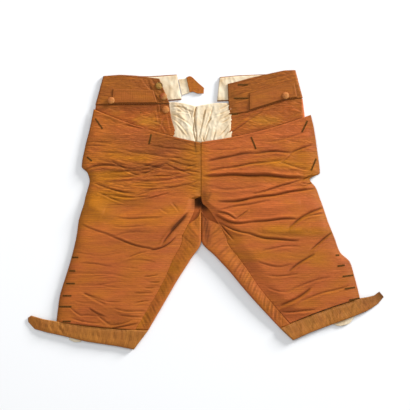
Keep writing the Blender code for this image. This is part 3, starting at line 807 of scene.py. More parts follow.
# ---------------------------------------------------------------------------------------------
# The linings of the waistband and the seat
# Plain linen, cream with age. The waistband's is a strip felled just inside its edges. The seat's
# is gathered into the waistband at the centre back, and its crumpled fullness fills the opening.
# ---------------------------------------------------------------------------------------------
def make_plain_weave():
    """Plain linen: crossing threads of uneven thickness and faint yellow age marks. The Turn input mixes in
    the darker aged colour, which the seat lining also uses as painted shade in its creases and hollows.
    """
    group, given, result = add_group(
        "plain_linen_weave",
        [("Weave", "NodeSocketVector", (0, 0, 0)), ("Linen", "NodeSocketColor", (1, 1, 1, 1)),
         ("Age", "NodeSocketColor", (1, 1, 1, 1)), ("Turn", "NodeSocketFloat", 0.0)],
        [("Color", "NodeSocketColor"), ("Roughness", "NodeSocketFloat"),
         ("Height", "NodeSocketFloat")])
    weave = given.outputs["Weave"]
    across = add_noise(group, weave, (120, 1700, 1), 1.0)
    along = add_noise(group, weave, (1700, 120, 1), 1.0)
    threads = add_math(group, "ADD", across, along)
    marks = add_noise(group, weave, (24, 30, 1), 4.0)
    share = add_sum(group, given.outputs["Turn"], (add_math(group, "SUBTRACT", marks, 0.52), 2.2))
    share.node.use_clamp = True
    colour = add_mix(group, "MIX", share, given.outputs["Linen"], given.outputs["Age"])
    colour = add_mix(group, "MULTIPLY", 1.0, colour, add_sum(group, 0.8, (threads, 0.2)))
    group.links.new(colour, result.inputs["Color"])
    group.links.new(add_sum(group, 0.7, (marks, 0.2)), result.inputs["Roughness"])
    group.links.new(threads, result.inputs["Height"])
    return group


def aged_linen(name, fresh, aged_and_shaded):
    material, shader = new_finish(name, Sheen_Weight=0.15)
    shader.inputs["Specular IOR Level"].default_value = 0.25
    inputs = {"Linen": (*fresh, 1), "Age": (*aged_and_shaded, 1)}
    return woven_finish(material, shader, plain_weave, inputs, ("turn",), 0.0003, 0.6)


plain_weave = make_plain_weave()
linen = aged_linen("linen", (0.74, 0.62, 0.44), (0.53, 0.34, 0.155))

Panel = namedtuple("Panel", "side_out side_down inner_out inner_down sag")
SEAT_LINING = {LEFT: rows(Panel,
    # side_out, side_down, inner_out, inner_down, sag
    (100, 77, 12, 84, -6),
    (100, 108, 15, 112, 0),
    (100, 150, 12, 150, 0),
    (100, 192, 12, 192, 0),
), RIGHT: rows(Panel,
    (85, 80, -12, 84, -6),
    (85, 108, -15, 112, 0),
    (85, 150, -12, 150, 0),
    (85, 192, -12, 192, 0),
)}
# The gathers run down from the waist, and smaller folds fan across them.
GATHERS = {LEFT: rows(Crease,
    # from_out, from_down, to_out, to_down, bow, depth, half_width, lean
    (18, 109, 14, 89, 0, -4, 2.6, -1),
    (19, 140, 16, 112, 1, -2.8, 2.4, 1),
    (18, 140, 13, 165, 1, -3.2, 2.4, -1),
    (66, 96, 22, 102, -3, -1.2, 2.6, 1),
    (66, 101, 26, 128, -4, -1.4, 2.8, 1),
    (68, 110, 31, 149, -3, -1.1, 2.8, 1),
    (70, 85, 36, 89, -2, -1.6, 2.6, -1),
    (68, 92, 49, 95, 0, -1.3, 2.4, 1),
    (59, 79, 40, 96, 1, -1.4, 2.6, 1),
    (45, 82, 20, 96, 2, -1.5, 3, -1),
    (31, 85, 22, 110, 1, -1.3, 2.8, 1),
    (59, 124, 40, 147, 1, -0.9, 2.8, -1),
    (40, 110, 26, 151, 1, 1.4, 4, 0),
    (54, 96, 36, 119, 1, 1.2, 4, 0),
), RIGHT: rows(Crease,
    (9, 92, 5, 110, 1, -3.6, 2.6, 1),
    (5, 110, -6, 156, 2, -1.6, 3, 1),
    (23, 111, 16, 121, 0, -3.2, 2.4, 1),
    (-8, 96, -13, 142, 1, 1.6, 4, 0),
    (26, 87, 10, 133, 2, -1.5, 3, -1),
    (63, 78, 40, 92, 1, -1.8, 2.6, 1),
    (64, 89, 29, 105, 2, -1.5, 2.8, 1),
    (64, 101, 45, 112, 1, -1.3, 2.6, -1),
    (63, 112, 46, 121, 1, -1.8, 2.6, 1),
    (62, 126, 37, 154, 2, -1.6, 2.8, 1),
    (61, 140, 49, 156, 1, -1.3, 2.6, 1),
    (17, 133, 8, 163, 1, -1.8, 2.8, -1),
    (7, 166, 3, 156, 0, -3, 2.4, 1),
    (29, 124, 20, 161, 1, 1.5, 4.5, 0),
    (43, 89, 24, 124, 2, 1.4, 4, 0),
    (33, 138, 26, 163, 1, -1.2, 2.8, 1),
    (52, 96, 36, 128, 1, 1.2, 3.6, 0),
)}
Fall = namedtuple("Fall", "side_out side_down inner_out inner_down sag inset side_lift lift")
FALL = {LEFT: rows(Fall,
    # side_out, side_down, inner_out, inner_down, sag, inset, side_lift, lift
    (247, 90, 0, 167, 8, SEAM_INSET, 5.8, 5.8),     # top edge of the fall
    (256, 133, 0, 188, 3, SEAM_INSET, 5.6, 5.8),
    (267, 176, 0, 220, 0, SEAM_INSET, 4.2, 5.8),
    (275, 222, 0, 248, 0, SEAM_INSET, 2.6, 5.4),    # drooping corner of the fall
    (262, 236, 0, 258, 0, SEAM_INSET, 2.5, 5.2),
    (257, 254, 0, 271, 0, SEAM_INSET, 2.5, 5.0),    # end of the slit
    (262, 276, 0, 289, 0, SEAM_INSET, 2.5, 4.8),
    (266, 289, 0, 298, 0, 16, 2.5, 4.7),            # the crotch seam pulls open
    (270, 308, 0, 317, 0, 16, 2.5, 4.7),
), RIGHT: rows(Fall,
    (251, 103, 0, 165, 8, SEAM_LAP, 5.8, 5.8),
    (258, 133, 0, 188, 5, SEAM_LAP, 5.6, 5.8),
    (265, 179, 0, 220, 0, SEAM_LAP, 4.2, 5.8),
    (272, 236, 0, 253, 0, SEAM_LAP, 2.6, 5.4),
    (249, 251, 0, 271, 0, SEAM_LAP, 2.5, 5.0),
    (263, 271, 0, 289, 0, SEAM_LAP, 2.5, 4.8),
    (272, 295, 0, 305, 0, 2, 2.5, 4.7),
    (277, 308, 0, 317, 0, 14, 2.5, 4.7),
)}


def above_fall(side, out, down):
    """How far a spot is above the top edge of the fall, in millimetres."""
    edge = FALL[side][0]
    part = np.clip((edge.side_out - np.abs(out)) / edge.side_out, 0, 1)
    line = edge.side_down + (edge.inner_down - edge.side_down) * part + edge.sag * 4 * part * (1 - part)
    return line - down


def panel_grid(levels, step):
    """Grids of out and down over a panel, about a step apart."""
    fine = smooth_levels(levels, step)
    breadth = max(math.hypot(level[2] - level[0], level[3] - level[1]) for level in levels)
    part = np.linspace(0, 1, round(breadth / step) + 1)[None, :]
    out = fine[:, 0:1] + (fine[:, 2:3] - fine[:, 0:1]) * part
    down = fine[:, 1:2] + (fine[:, 3:4] - fine[:, 1:2]) * part + fine[:, 4:5] * 4 * part * (1 - part)
    return out, down


# Where the front edge of each waistband and bearer lies over the linen
OPENING = {LEFT: 60, RIGHT: 66}


def make_seat_lining(side, word):
    out, down = panel_grid(SEAT_LINING[side], 1.5)
    room = ease((above_fall(side, out, down) + 6) / 7) * ease((OPENING[side] + 12 - out) / 14)
    from_back_seam = ease((out - out[:, -1:] + 2) / 5)
    swell = 2.6 + 0.55 * crumpled(out, down, 15, 30, 31 + side) + 0.25 * crumpled(out, down, 8, 9, 41 + side)
    height = LINING_LEVEL + LINEN + 0.1 + room * from_back_seam * np.maximum(
        swell + creased(GATHERS[side], out, down), 0)
    # Painted shade: the linen turns towards its darker aged colour where it lies low between the gathers and
    # at the bottoms of their creases. It is also darker along its inner edge; the uneven term is tone that
    # differs at random.
    turn = 0.24 + 0.5 * ease((1.6 - (height - LINING_LEVEL - LINEN)) / 1.6) * room
    turn += 0.25 * uneven(out, down, 12, 14, 3) + 1.1 * crease_lines(GATHERS[side], out, down)
    turn += 0.5 * (1 - ease((out - out[:, -1:]) / 3))
    return sewn_cloth("seat_lining_" + word + "_linen", side, out, down, height, LINEN, linen, turn=turn)


def make_waistband_lining(side, word):
    """A little inside the edges of the back of the waistband."""
    margin = 2
    levels = [Panel(rib.top_out, rib.top_down + margin, rib.low_out, rib.low_down - margin, 0)
              for rib in WAISTBAND_BACK[side]]
    out, down = panel_grid(levels, 2.0)
    height = LINING_LEVEL + LINEN + 0.25 + 0.25 * crumpled(out, down, 14, 18, 51 + side)
    room = ease((OPENING[side] + 20 - out) / 10)
    height += room * 0.9 * np.maximum(crumpled(out, down, 10, 30, 52 + side), 0)
    turn = 0.38 + 0.3 * uneven(out, down, 10, 12, 5)
    return sewn_cloth("waistband_lining_" + word + "_linen", side, out, down, height, LINEN, linen,
                      turn=turn)


for side, word in SIDE_WORDS:
    lay(make_seat_lining(side, word), "seat_lining_" + word)
    lay(make_waistband_lining(side, word), "waistband_lining_" + word)


# ---------------------------------------------------------------------------------------------
# The bearers
# Two panels of the brightest silk, sewn to the waistband behind the fall. They close the front
# under it, and show between the waistband and the fall where the fall has dropped.
# ---------------------------------------------------------------------------------------------
BEARER_SILK = 1.4
BEARER = {LEFT: rows(Panel,
    # side_out, side_down, inner_out, inner_down, sag
    (243, 82, 74, 79, 0),
    (240, 110, 70, 107, 0),
    (232, 150, 58, 148, 0),
    (224, 188, 50, 188, 0),
), RIGHT: rows(Panel,
    (231, 67, 64, 104, 3),
    (232, 98, 63, 118, 3),
    (226, 150, 62, 156, 0),
    (220, 190, 62, 194, 0),
)}
BEARER_CREASES = {LEFT: rows(Crease,
    # from_out, from_down, to_out, to_down, bow, depth, half_width, lean
    (204, 94, 139, 104, -2, -1.2, 3.2, 1),
    (169, 85, 135, 102, 1, -1.2, 3, 1),
    (155, 85, 137, 98, 0, -1, 2.8, -1),
    (135, 103, 114, 112, 0, -1, 3, 1),
    (167, 124, 134, 107, 1, 2.2, 3.4, 0),
    (206, 117, 178, 125, 0, -1.2, 3, 1),
    (178, 125, 128, 136, 0, -1.8, 3.2, -1),
    (222, 104, 178, 121, 1, 1.4, 4, 0),
    (118, 115, 89, 127, -2, -2, 3.2, 1),
    (89, 128, 80, 144, 0, -1.8, 3, 1),
    (102, 92, 97, 121, 1, -1.6, 3, 1),
    (95, 140, 86, 110, 0, -1.2, 3, -1),
    (95, 78, 93, 96, 0, -2.4, 3.4, 1),
    (77, 105, 70, 140, 0, -1.2, 3, 1),
    (233, 92, 206, 98, 0, -0.9, 3, -1),
), RIGHT: rows(Crease,
    (112, 113, 56, 154, -1, -2.6, 3.4, -1),
    (141, 94, 112, 113, -1, -2.2, 3.2, -1),
    (190, 81, 141, 94, -1, -1.4, 3, -1),
    (171, 127, 139, 110, -1, -1.2, 3.4, 1),
    (208, 96, 158, 87, 1, -0.8, 3.4, 1),
    (102, 101, 66, 117, 0, -1.2, 3, 1),
    (93, 115, 68, 133, 0, -1, 3, 1),
    (227, 96, 190, 110, 2, -0.8, 3.4, 1),
    (125, 85, 84, 105, 0, 0.9, 3.4, 0),
)}

# A soft round patch of more height or of another tone
Patch = namedtuple("Patch", "out down breadth length amount")
bearer_silk = ribbed_silk("bearer_silk", (0.39, 0.092, 0.012), (0.45, 0.155, 0.012), 900)


def patched(patches, out, down):
    total = np.zeros(out.shape)
    for patch in patches:
        away = ((out - patch.out) / patch.breadth) ** 2 + ((down - patch.down) / patch.length) ** 2
        total += patch.amount * np.exp(-away)
    return total


def make_bearer(side, word):
    out, down = panel_grid(BEARER[side], 2.2)
    room = ease((above_fall(side, out, down) - 1) / 8)
    seam = ease((down - down[0:1]) / 6)
    lift = 0.5 + creased(BEARER_CREASES[side], out, down)
    lift += 0.3 * crumpled(out, down, 40, 13, 61 + side) + 0.2 * crumpled(out, down, 16, 7, 62 + side)
    height = FRONT_LEVEL + BEARER_SILK + 0.05 + room * seam * np.maximum(lift, 0)
    if side == LEFT:
        from_fall = above_fall(side, out, down)
        height += 1.5 * ease((out - 118) / 16) * hump(from_fall, 0, 12) * ease((from_fall + 2) / 2.5)
    low_edge = sorted((rib.low_out, rib.low_down) for rib in WAISTBAND_FRONT[side] + [WAISTBAND_SIDE[side]])
    seam_down = np.interp(out, *zip(*low_edge)) + SEAM_INSET
    down = down + (seam_down[0:1] - down[0:1]) * (1 - ease((down - down[0:1]) / 28))
    # The slope term in the tone is painted sheen.
    turn = 0.1 + 0.35 * uneven(out, down, 30, 20, 7 + side) - 0.6 * lit_share(out, down, height)
    golden = Patch(128, 119, 26, 11, 1.0) if side == LEFT else Patch(148, 116, 34, 11, 1.1)
    turn += patched([golden], out, down)
    # Painted shade: at the bottoms of the creases, a shadow along the fall's top edge (fainter where the
    # left fall's edge lies flush), a darker band under the waistband, and dark lines at its seam and along
    # the inner edge.
    shade = 0.6 * crease_lines(BEARER_CREASES[side], out, down)
    plain = ease((125 - out) / 20) if side == LEFT else 1.0
    shade += (0.25 + 0.3 * plain) * np.exp(-(above_fall(side, out, down) / 2.2) ** 2)
    from_band = down - seam_down
    shade += (0.30 if side == LEFT else 0.12) * (1 - ease((from_band - 10) / 9))
    shade += 0.35 * hump(from_band, 0, 2) + 0.25 * np.exp(-(out - out[:, -1:]) / 4)
    shade = np.clip(shade, 0, 0.85)
    return sewn_cloth("bearer_" + word + "_silk", side, out, down, height, BEARER_SILK, bearer_silk,
                      turn=turn, shade=shade, rumple=0.8)


for side, word in SIDE_WORDS:
    lay(make_bearer(side, word), "bearer_" + word)


# ---------------------------------------------------------------------------------------------
# The fronts
# Each front is one piece of shot silk from the fall's top edge to the knee, seamed to the other
# at the centre down to the crotch. It lies over the bearers, then on its back piece, and keeps
# the creases that folding has pressed into it: broad troughs, and sharp ones with a ridge beside.
# ---------------------------------------------------------------------------------------------
FRONT_STEP = 1.8
FRONT_COLUMNS = 150
CROTCH = 300         # how far down the centre seam ends
HIGHEST = 19.5       # the cloth rises no further over the table
FULLNESS = (
    # down, height of the middle of a front
    (128, 8.6), (165, 10.0), (210, 10.8), (260, 10.5), (330, 11.6), (450, 12.0), (540, 11.0), (600, 8.6),
)
FRONT_CREASES = {LEFT: rows(Crease,
    # from_out, from_down, to_out, to_down, bow, depth, half_width, lean
    (206, 208, 173, 226, 1, -1.6, 3.4, 1),
    (173, 226, 137, 222, 1, -1.4, 3.6, -1),
    (137, 222, 101, 214, 0, -1.2, 3.4, -1),
    (176, 228, 140, 244, 2, -1.6, 3.4, 1),
    (137, 241, 88, 221, -1, -1.6, 3.4, 1),
    (82, 214, 22, 241, 1, -1.5, 3.2, -1),
    (78, 206, 14, 222, 1, -1.2, 3.2, -1),
    (64, 200, 10, 212, 0, -1.0, 3.0, -1),
    (137, 247, 55, 244, -1, -1.4, 3.2, 1),
    (225, 270, 155, 283, 1, -1.4, 3.0, -1),
    (176, 267, 68, 270, -2, -1.7, 3.2, 1),
    (150, 259, 100, 262, 1, -1.2, 3.0, 1),
    (225, 286, 176, 305, 2, -1.2, 3.2, 1),
    (206, 179, 172, 172, 1, -1.0, 3.4, 1),
    (264, 175, 218, 175, -2, -1.3, 3.6, 1),
    (140, 296, 75, 283, 2, -1.4, 3.2, -1),
    (205, 262, 168, 268, 0, -1.1, 3.0, 1),
    (150, 232, 96, 234, 3, -1.0, 3.2, -1),
    (266, 167, 206, 167, -1, -1.6, 5, 1),
    (266, 230, 176, 225, -10, -3.0, 6, 1),
    (244, 259, 149, 285, 5, -2.4, 4, 1),
    (230, 286, 121, 292, 2, -2.2, 4, 1),
    (151, 289, 118, 278, -1, -1.6, 3.5, -1),
    (238, 280, 192, 299, 2, -1.2, 3.5, 1),
    (139, 279, 26, 263, 0, -2.0, 4.5, -1),
    (245, 202, 141, 220, 4, -1.5, 4, 1),
    (210, 234, 72, 213, 6, -1.6, 4.5, -1),
    (187, 207, 22, 234, 3, -1.5, 4.5, 1),
    (233, 248, 95, 227, 6, -1.4, 4, 1),
    (164, 259, 15, 241, 3, -1.6, 4.5, 1),
    (236, 262, 118, 255, -4, -1.2, 4, -1),
    (192, 181, 45, 202, 3, -1.3, 4.5, 1),
    (118, 174, 13, 188, -1, -1.2, 4.5, -1),
    (252, 184, 169, 188, 5, -1.2, 4, 1),
    (118, 243, 17, 225, 7, -1.2, 3.5, 1),
    (222, 355, 42, 282, -12, -1.8, 9, 0),
    (270, 305, 224, 328, 0, 3.2, 17, 0),
    (169, 338, 68, 305, -2, 2.4, 9, 0),
    (176, 301, 61, 266, -1, 2.0, 7, 0),
    (218, 312, 174, 310, -1, -1.0, 3.5, 1),
    (274, 353, 196, 380, 5, -1.3, 4, -1),
    (212, 380, 107, 413, 3, -1.9, 4, -1),
    (114, 414, 59, 384, 6, -2.5, 4.5, -1),
    (89, 400, 33, 330, -4, -4.0, 5, -1),
    (192, 339, 89, 337, 3, -1.5, 4, -1),
    (204, 358, 121, 356, 3, -1.3, 4, 1),
    (197, 379, 118, 372, -3, -1.0, 4, 1),
    (68, 305, 54, 323, -1, -1.2, 3.5, 1),
    (95, 317, 75, 331, 1, -1.0, 3.5, 1),
    (38, 225, 6, 216, -1, -1.3, 3, 1),
    (36, 232, 6, 234, -1, -1.3, 3, 1),
    (31, 264, 6, 253, -1, -1.3, 3, 1),
    (26, 266, 6, 271, 0, -1.3, 3, 1),
    (167, 430, 128, 418, -1, -1.6, 3.5, 1),
    (293, 418, 174, 418, 7, -0.8, 4, 1),
    (279, 443, 206, 450, -1, -1.0, 3.5, -1),
    (302, 469, 160, 478, -7, -0.9, 4, 1),
    (291, 494, 183, 485, 3, -0.8, 4, 1),
    (187, 441, 105, 441, -5, -0.8, 4, -1),
    (269, 511, 220, 538, 2, -1.4, 5, 1),
    (132, 473, 100, 471, 1, -1.8, 3.5, 1),
    (118, 488, 96, 487, 1, -1.8, 3.5, 1),
    (132, 499, 107, 501, 1, -1.8, 3.5, 1),
    (153, 512, 112, 512, 1, -1.8, 3.5, 1),
    (153, 535, 121, 531, -2, -1.8, 3.5, 1),
    (301, 546, 275, 564, 1, -1.3, 3.6, 1),
    (275, 564, 238, 564, -1, -1.2, 3.4, 1),
    (238, 564, 208, 585, 1, -1.5, 4, 1),
    (208, 585, 164, 576, 2, -1.4, 4, 1),
    (257, 547, 222, 566, 1, -1.6, 3.6, -1),
    (199, 547, 130, 554, 3, -1.8, 3.6, 1),
    (272, 512, 222, 529, 1, -1.4, 3.6, 1),
    (222, 529, 183, 533, 1, -1.2, 3.4, 1),
    (208, 593, 146, 581, 2, -1.8, 3.6, -1),
    (296, 571, 233, 582, 1, -1.8, 3.8, 1),
    (187, 563, 137, 565, 2, -1.4, 3.4, -1),
    (289, 529, 256, 535, 1, -1, 3.2, 1),
    (238, 494, 187, 499, 1, -0.8, 3.2, 1),
    (256, 473, 206, 471, 1, -0.7, 3, 1),
    (197, 450, 137, 455, 1, -0.7, 3, 1),
    (275, 579, 215, 591, -1, 1.6, 6, 0),
), RIGHT: rows(Crease,
    (118, 192, 14, 212, -4, -2.4, 6, -1),
    (206, 190, 118, 192, -3, -2.8, 5.5, 1),
    (252, 172, 206, 190, 0, -3.2, 4.5, 1),
    (206, 193, 183, 213, 2, -1.4, 3.5, -1),
    (183, 207, 14, 233, -2, -3.0, 5, 1),
    (240, 227, 183, 213, 1, -2.2, 4.5, 1),
    (231, 250, 14, 244, -5, -5.5, 6, -1),
    (227, 252, 118, 284, 2, -2.4, 4, -1),
    (260, 271, 79, 300, 1, -4.0, 5, -1),
    (107, 296, 38, 303, 3, -2.0, 5, -1),
    (254, 243, 231, 253, 0, -2.4, 3, 1),
    (254, 262, 227, 259, 1, -2.0, 3, 1),
    (256, 255, 231, 269, 2, -1.6, 3, 1),
    (157, 300, 37, 322, -1, -1.8, 4, -1),
    (78, 342, 35, 326, -4, -2.6, 3.5, -1),
    (107, 321, 78, 342, 0, -2.2, 3.5, 1),
    (107, 351, 33, 334, 7, -4.2, 5, -1),
    (217, 342, 107, 351, -2, -3.0, 5, -1),
    (279, 315, 199, 362, -5, -4.6, 6, 1),
    (279, 328, 237, 338, -1, -2.2, 4, 1),
    (109, 376, 42, 351, 3, -2.6, 4.5, 1),
    (223, 391, 109, 376, 5, -2.6, 5, -1),
    (71, 387, 40, 349, 1, -3.4, 4, 1),
    (298, 374, 250, 412, 0, -3.0, 5, 1),
    (258, 422, 200, 462, -2, -2.8, 6, 1),
    (227, 404, 139, 414, -3, -1.6, 5, 1),
    (221, 469, 151, 471, 2, -1.6, 4.5, 1),
    (204, 446, 130, 441, 7, -1.2, 4.5, -1),
    (249, 502, 181, 542, 3, -4.6, 7, 1),
    (296, 473, 208, 501, -1, -1.5, 5, 1),
    (337, 496, 227, 529, -2, -1.8, 5, 1),
    (261, 549, 181, 554, 3, -2.4, 5, 1),
    (213, 503, 153, 501, 6, -1.2, 4.5, 1),
    (89, 177, 15, 181, 5, -1.0, 4.5, 1),
    (238, 140, 139, 163, 7, -1.4, 5, 1),
    (130, 266, 20, 269, 6, -1.4, 6, 1),
    (204, 230, 89, 230, -1, 2.0, 8, 0),
    (227, 305, 112, 319, 2, 2.6, 12, 0),
    (250, 358, 139, 365, 10, 2.0, 9, 0),
)}
# Where the cloth stands fuller
SWELLS = {LEFT: rows(Patch,
    # out, down, breadth, length, amount
    (235, 315, 40, 36, 3.0),
    (120, 130, 90, 25, 0.8),
    (200, 210, 60, 26, 1.2),
    (90, 345, 45, 30, 2.4),
    (180, 370, 70, 22, 1.6),
    (200, 450, 80, 40, 1.5),
    (240, 530, 50, 18, 1.8),
    (165, 560, 30, 18, 2.2),
), RIGHT: rows(Patch,
    (170, 222, 70, 14, 1.8),
    (90, 275, 60, 18, 1.0),
    (170, 300, 70, 24, 2.4),
    (120, 325, 60, 12, 1.2),
    (230, 350, 60, 20, 2.4),
    (140, 420, 80, 30, 1.8),
    (250, 450, 60, 26, 1.5),
    (290, 520, 50, 20, 1.6),
    (210, 530, 30, 14, 1.6),
)}
GOLDEN = {LEFT: rows(Patch,
    (150, 204, 70, 12, 0.7),
    (210, 190, 40, 14, 0.4),
    (200, 240, 60, 9, 0.7),
    (230, 252, 36, 12, 0.6),
    (235, 315, 50, 34, 0.9),
    (130, 262, 60, 8, 0.5),
    (200, 290, 50, 12, 0.6),
    (70, 322, 40, 12, 0.5),
    (150, 350, 60, 10, 0.4),
    (22, 215, 20, 60, 0.5),
), RIGHT: rows(Patch,
    (190, 216, 70, 13, 0.9),
    (225, 196, 40, 14, 0.7),
    (252, 240, 22, 20, 0.8),
    (150, 252, 90, 8, 0.4),
    (225, 374, 80, 14, 0.9),
    (250, 340, 50, 12, 0.6),
    (150, 366, 60, 12, 0.4),
    (260, 436, 50, 20, 0.6),
    (60, 400, 44, 30, 0.6),
    (140, 425, 80, 16, 0.5),
    (300, 505, 50, 20, 0.4),
    (230, 535, 50, 20, 0.4),
    (10, 240, 10, 70, 0.5),
)}
# Where the silk turns from the light: painted shade that darkens it towards brown; the rows below zero take
# some painted shade away
SHADE_PATCHES = {LEFT: rows(Patch,
    (80, 170, 75, 20, 0.48),
    (120, 190, 60, 8, 0.26),
    (125, 402, 60, 14, 0.16),
    (185, 158, 70, 12, 0.18),
    (60, 215, 60, 14, 0.22),
    (130, 222, 70, 10, 0.22),
    (215, 225, 50, 7, 0.16),
    (160, 310, 70, 10, 0.34),
    (95, 298, 50, 8, 0.20),
    (220, 338, 24, 12, 0.22),
    (150, 372, 50, 9, 0.18),
    (80, 385, 30, 12, 0.12),
    (180, 395, 50, 8, 0.12),
    (240, 560, 60, 10, 0.20),
    (200, 582, 40, 7, 0.22),
    (203, 171, 30, 8, -0.14),
    (152, 204, 44, 9, -0.16),
    (200, 254, 50, 9, -0.12),
    (95, 264, 50, 9, -0.12),
    (80, 285, 36, 7, -0.10),
    (232, 200, 20, 16, -0.10),
), RIGHT: rows(Patch,
    (150, 186, 60, 8, 0.16),
    (80, 200, 60, 8, 0.12),
    (90, 250, 80, 8, 0.14),
    (60, 300, 40, 10, 0.12),
    (235, 378, 90, 12, 0.18),
    (120, 372, 60, 9, 0.12),
    (190, 344, 60, 7, 0.14),
    (10, 290, 12, 26, 0.35),
    (240, 425, 40, 10, 0.10),
    (100, 455, 20, 20, 0.10),
)}


def front_height(side, levels, out, down, part):
    """The skin of a front: its edges lie where the seams are, and its middle swells between."""
    breadth = (np.hypot(levels[:, 2] - levels[:, 0], levels[:, 3] - levels[:, 1]) - levels[:, 5])[:, None]
    from_side, from_inner = part * breadth, (1 - part) * breadth
    on_leg = ease((levels[:, 3:4] - CROTCH) / 50)
    side_edge = levels[:, 6:7] + SILK + 0.15
    inner_edge = (levels[:, 7:8] + SILK + 0.3) * (1 - on_leg) + SEAM_HEIGHT * on_leg
    middle_down = (levels[:, 1:2] + levels[:, 3:4]) / 2
    middle = np.interp(middle_down, *zip(*FULLNESS))
    held_down = ease((296 - levels[:, 3:4]) / 22)
    inner_edge = inner_edge + (middle - 0.8 - inner_edge) * held_down
    rise = np.sqrt(1 - (1 - np.clip(from_side / 26, 0, 1)) ** 2)
    height = side_edge + (middle - side_edge) * rise
    inner_run = 16 + 26 * on_leg
    height = inner_edge + (height - inner_edge) * ease(0.12 + 0.88 * from_inner / inner_run)
    keep = (0.3 + 0.7 * ease(from_side / 14)) * (0.35 + 0.65 * ease(from_inner / 7))
    height += keep * (0.8 * patched(SWELLS[side], out, down) + creased(FRONT_CREASES[side], out, down))
    fall = ease((CROTCH - down) / 60)
    height += keep * fall * (0.30 * crumpled(out, down + 0.16 * out, 62, 9, 71 + side)
                             + 0.30 * crumpled(out, down - 0.12 * out, 48, 8, 75 + side)
                             + 0.18 * crumpled(out, down, 24, 6, 72 + side))
    height += keep * (1 - fall) * (0.12 * crumpled(out, down, 46, 7, 73 + side)
                                   + 0.7 * uneven(out, down, 70, 40, 74 + side))
    seam_down = np.repeat(levels[:, 3:4], out.shape[1], axis=1)
    height += pucker_lift(side, seam_down, np.ones(out.shape), on_leg * np.exp(-from_inner / 9))
    height -= 0.35 * np.exp(-from_inner / 1.6) * on_leg
    height += (1 - on_leg) * (0.3 if side == RIGHT else -0.1) * np.exp(-from_inner / 2.4)
    from_top = down - down[0:1]
    turned_in = 0.25 + 0.75 * ease((125 - out) / 20) if side == LEFT else 1.0
    height += turned_in * (0.5 * hump(from_top, 2.4, 2.0)
                           - 0.4 * hump(from_top, 6.4, 1.1))
    covered = np.clip((212 - down) / 16, 0, 1) * (out < 240)
    lowest = (2.3 + SILK) + (5.75 - 2.3) * covered
    lowest = np.minimum(lowest, side_edge + (lowest - side_edge) * np.clip(from_side / 10, 0, 1) + 0.01)
    height = at_least(height, lowest)
    return np.minimum(height, HIGHEST), from_side, from_inner


def make_front(side, word):
    leg = [Fall(*level[0:5], level.wrap + SEAM_INSET, 2.5, 4.7) for level in LEG[side]]
    levels = joined_levels(FALL[side], leg, FRONT_STEP)
    part = np.linspace(0, 1, FRONT_COLUMNS + 1)[None, :]
    length = np.hypot(levels[:, 2] - levels[:, 0], levels[:, 3] - levels[:, 1])[:, None]
    kept = part * (1 - levels[:, 5:6] / length)
    out = levels[:, 0:1] + (levels[:, 2:3] - levels[:, 0:1]) * kept
    down = levels[:, 1:2] + (levels[:, 3:4] - levels[:, 1:2]) * kept + levels[:, 4:5] * 4 * kept * (1 - kept)
    height, from_side, from_inner = front_height(side, levels, out, down, part)
    # The slope term and the gold along the side edge are painted sheen, as the shot silk changes hue where
    # it tips towards the light; the patches and the uneven term are its tone.
    turn = 0.05 + patched(GOLDEN[side], out, down) - 0.25 * lit_share(out, down, height)
    turn += 0.35 * uneven(out, down, 60, 22, 8 + side) + 0.5 * np.exp(-from_side / 7)
    # Darker on the legs than on the fall, and painted shade in the listed patches where the silk turns from
    # the light.
    shade = 0.1 * ease((down - 330) / 80) + 0.85 * patched(SHADE_PATCHES[side], out, down)
    # Painted shade along the side edge; on the right, gold along the fold at the centre seam is a painted
    # highlight.
    if side == RIGHT:
        shade += 0.45 * np.exp(-from_side / 8)
        turn += 0.5 * ease((CROTCH - down) / 10) * hump(from_inner, 0, 5)
    else:
        shade += 0.35 * np.exp(-from_side / 5)
    if side == LEFT:
        # Painted shade along the centre seam, in a streak beside it, in a deep fold on the inner thigh, and
        # at the bottoms of the bearer's creases where they run on over the fall's hidden edge; near the seam
        # the tone turns towards gold.
        above_crotch = ease((CROTCH - down) / 10)
        shade += above_crotch * 0.24 * hump(from_inner, 1, 1.3)
        shade += above_crotch * 0.14 * hump(from_inner, 0, 16)
        shaded_streak = (from_inner - 16 + 0.16 * (down - 165)) / 2.2
        shade += 0.5 * np.exp(-shaded_streak ** 2 - ((down - 174) / 16) ** 2)
        turn += 0.2 + 0.5 * above_crotch * hump(from_inner, 0, 16)
        shade += 0.95 * np.clip(creased([Crease(70, 368, 35, 334, 1, 1.0, 5.5, 0)], out, down), 0, 1)
        hidden_edge = ease((out - 118) / 16) * np.exp(-((down - down[0:1]) / 14) ** 2)
        height += hidden_edge * creased(BEARER_CREASES[side], out, down)
        shade += hidden_edge * 0.6 * crease_lines(BEARER_CREASES[side], out, down)
    # Painted shade at the bottoms of the creases; the uneven term is tone that differs at random.
    shade += 0.75 * crease_lines(FRONT_CREASES[side], out, down)
    shade += 0.1 * np.clip(uneven(out, down, 44, 16, 12 + side), 0, 1)
    shade = np.clip(shade, 0, 0.8)
    # Painted shade in the opening of the crotch on the left, and in a slanting patch beside it on the right.
    if side == LEFT:
        shade = np.maximum(shade, 0.55 * np.exp(-((out - 18) / 6) ** 2 - ((down - 305) / 14) ** 2))
    else:
        slanted = out - 17 + 0.3 * (down - 291)
        shade = np.maximum(shade, 0.5 * np.exp(-(slanted / 4.5) ** 2 - ((down - 291) / 13) ** 2))
    rumple = 0.25 + 0.5 * ease((310 - down) / 40) * (1.0 if side == LEFT else 0.55)
    return sewn_cloth("front_" + word + "_silk", side, out, down, height, SILK, shot_silk,
                      turn=turn, shade=shade, rumple=rumple)


fronts = {}
for side, word in SIDE_WORDS:
    fronts[side] = make_front(side, word)
    lay(fronts[side], "front_" + word)


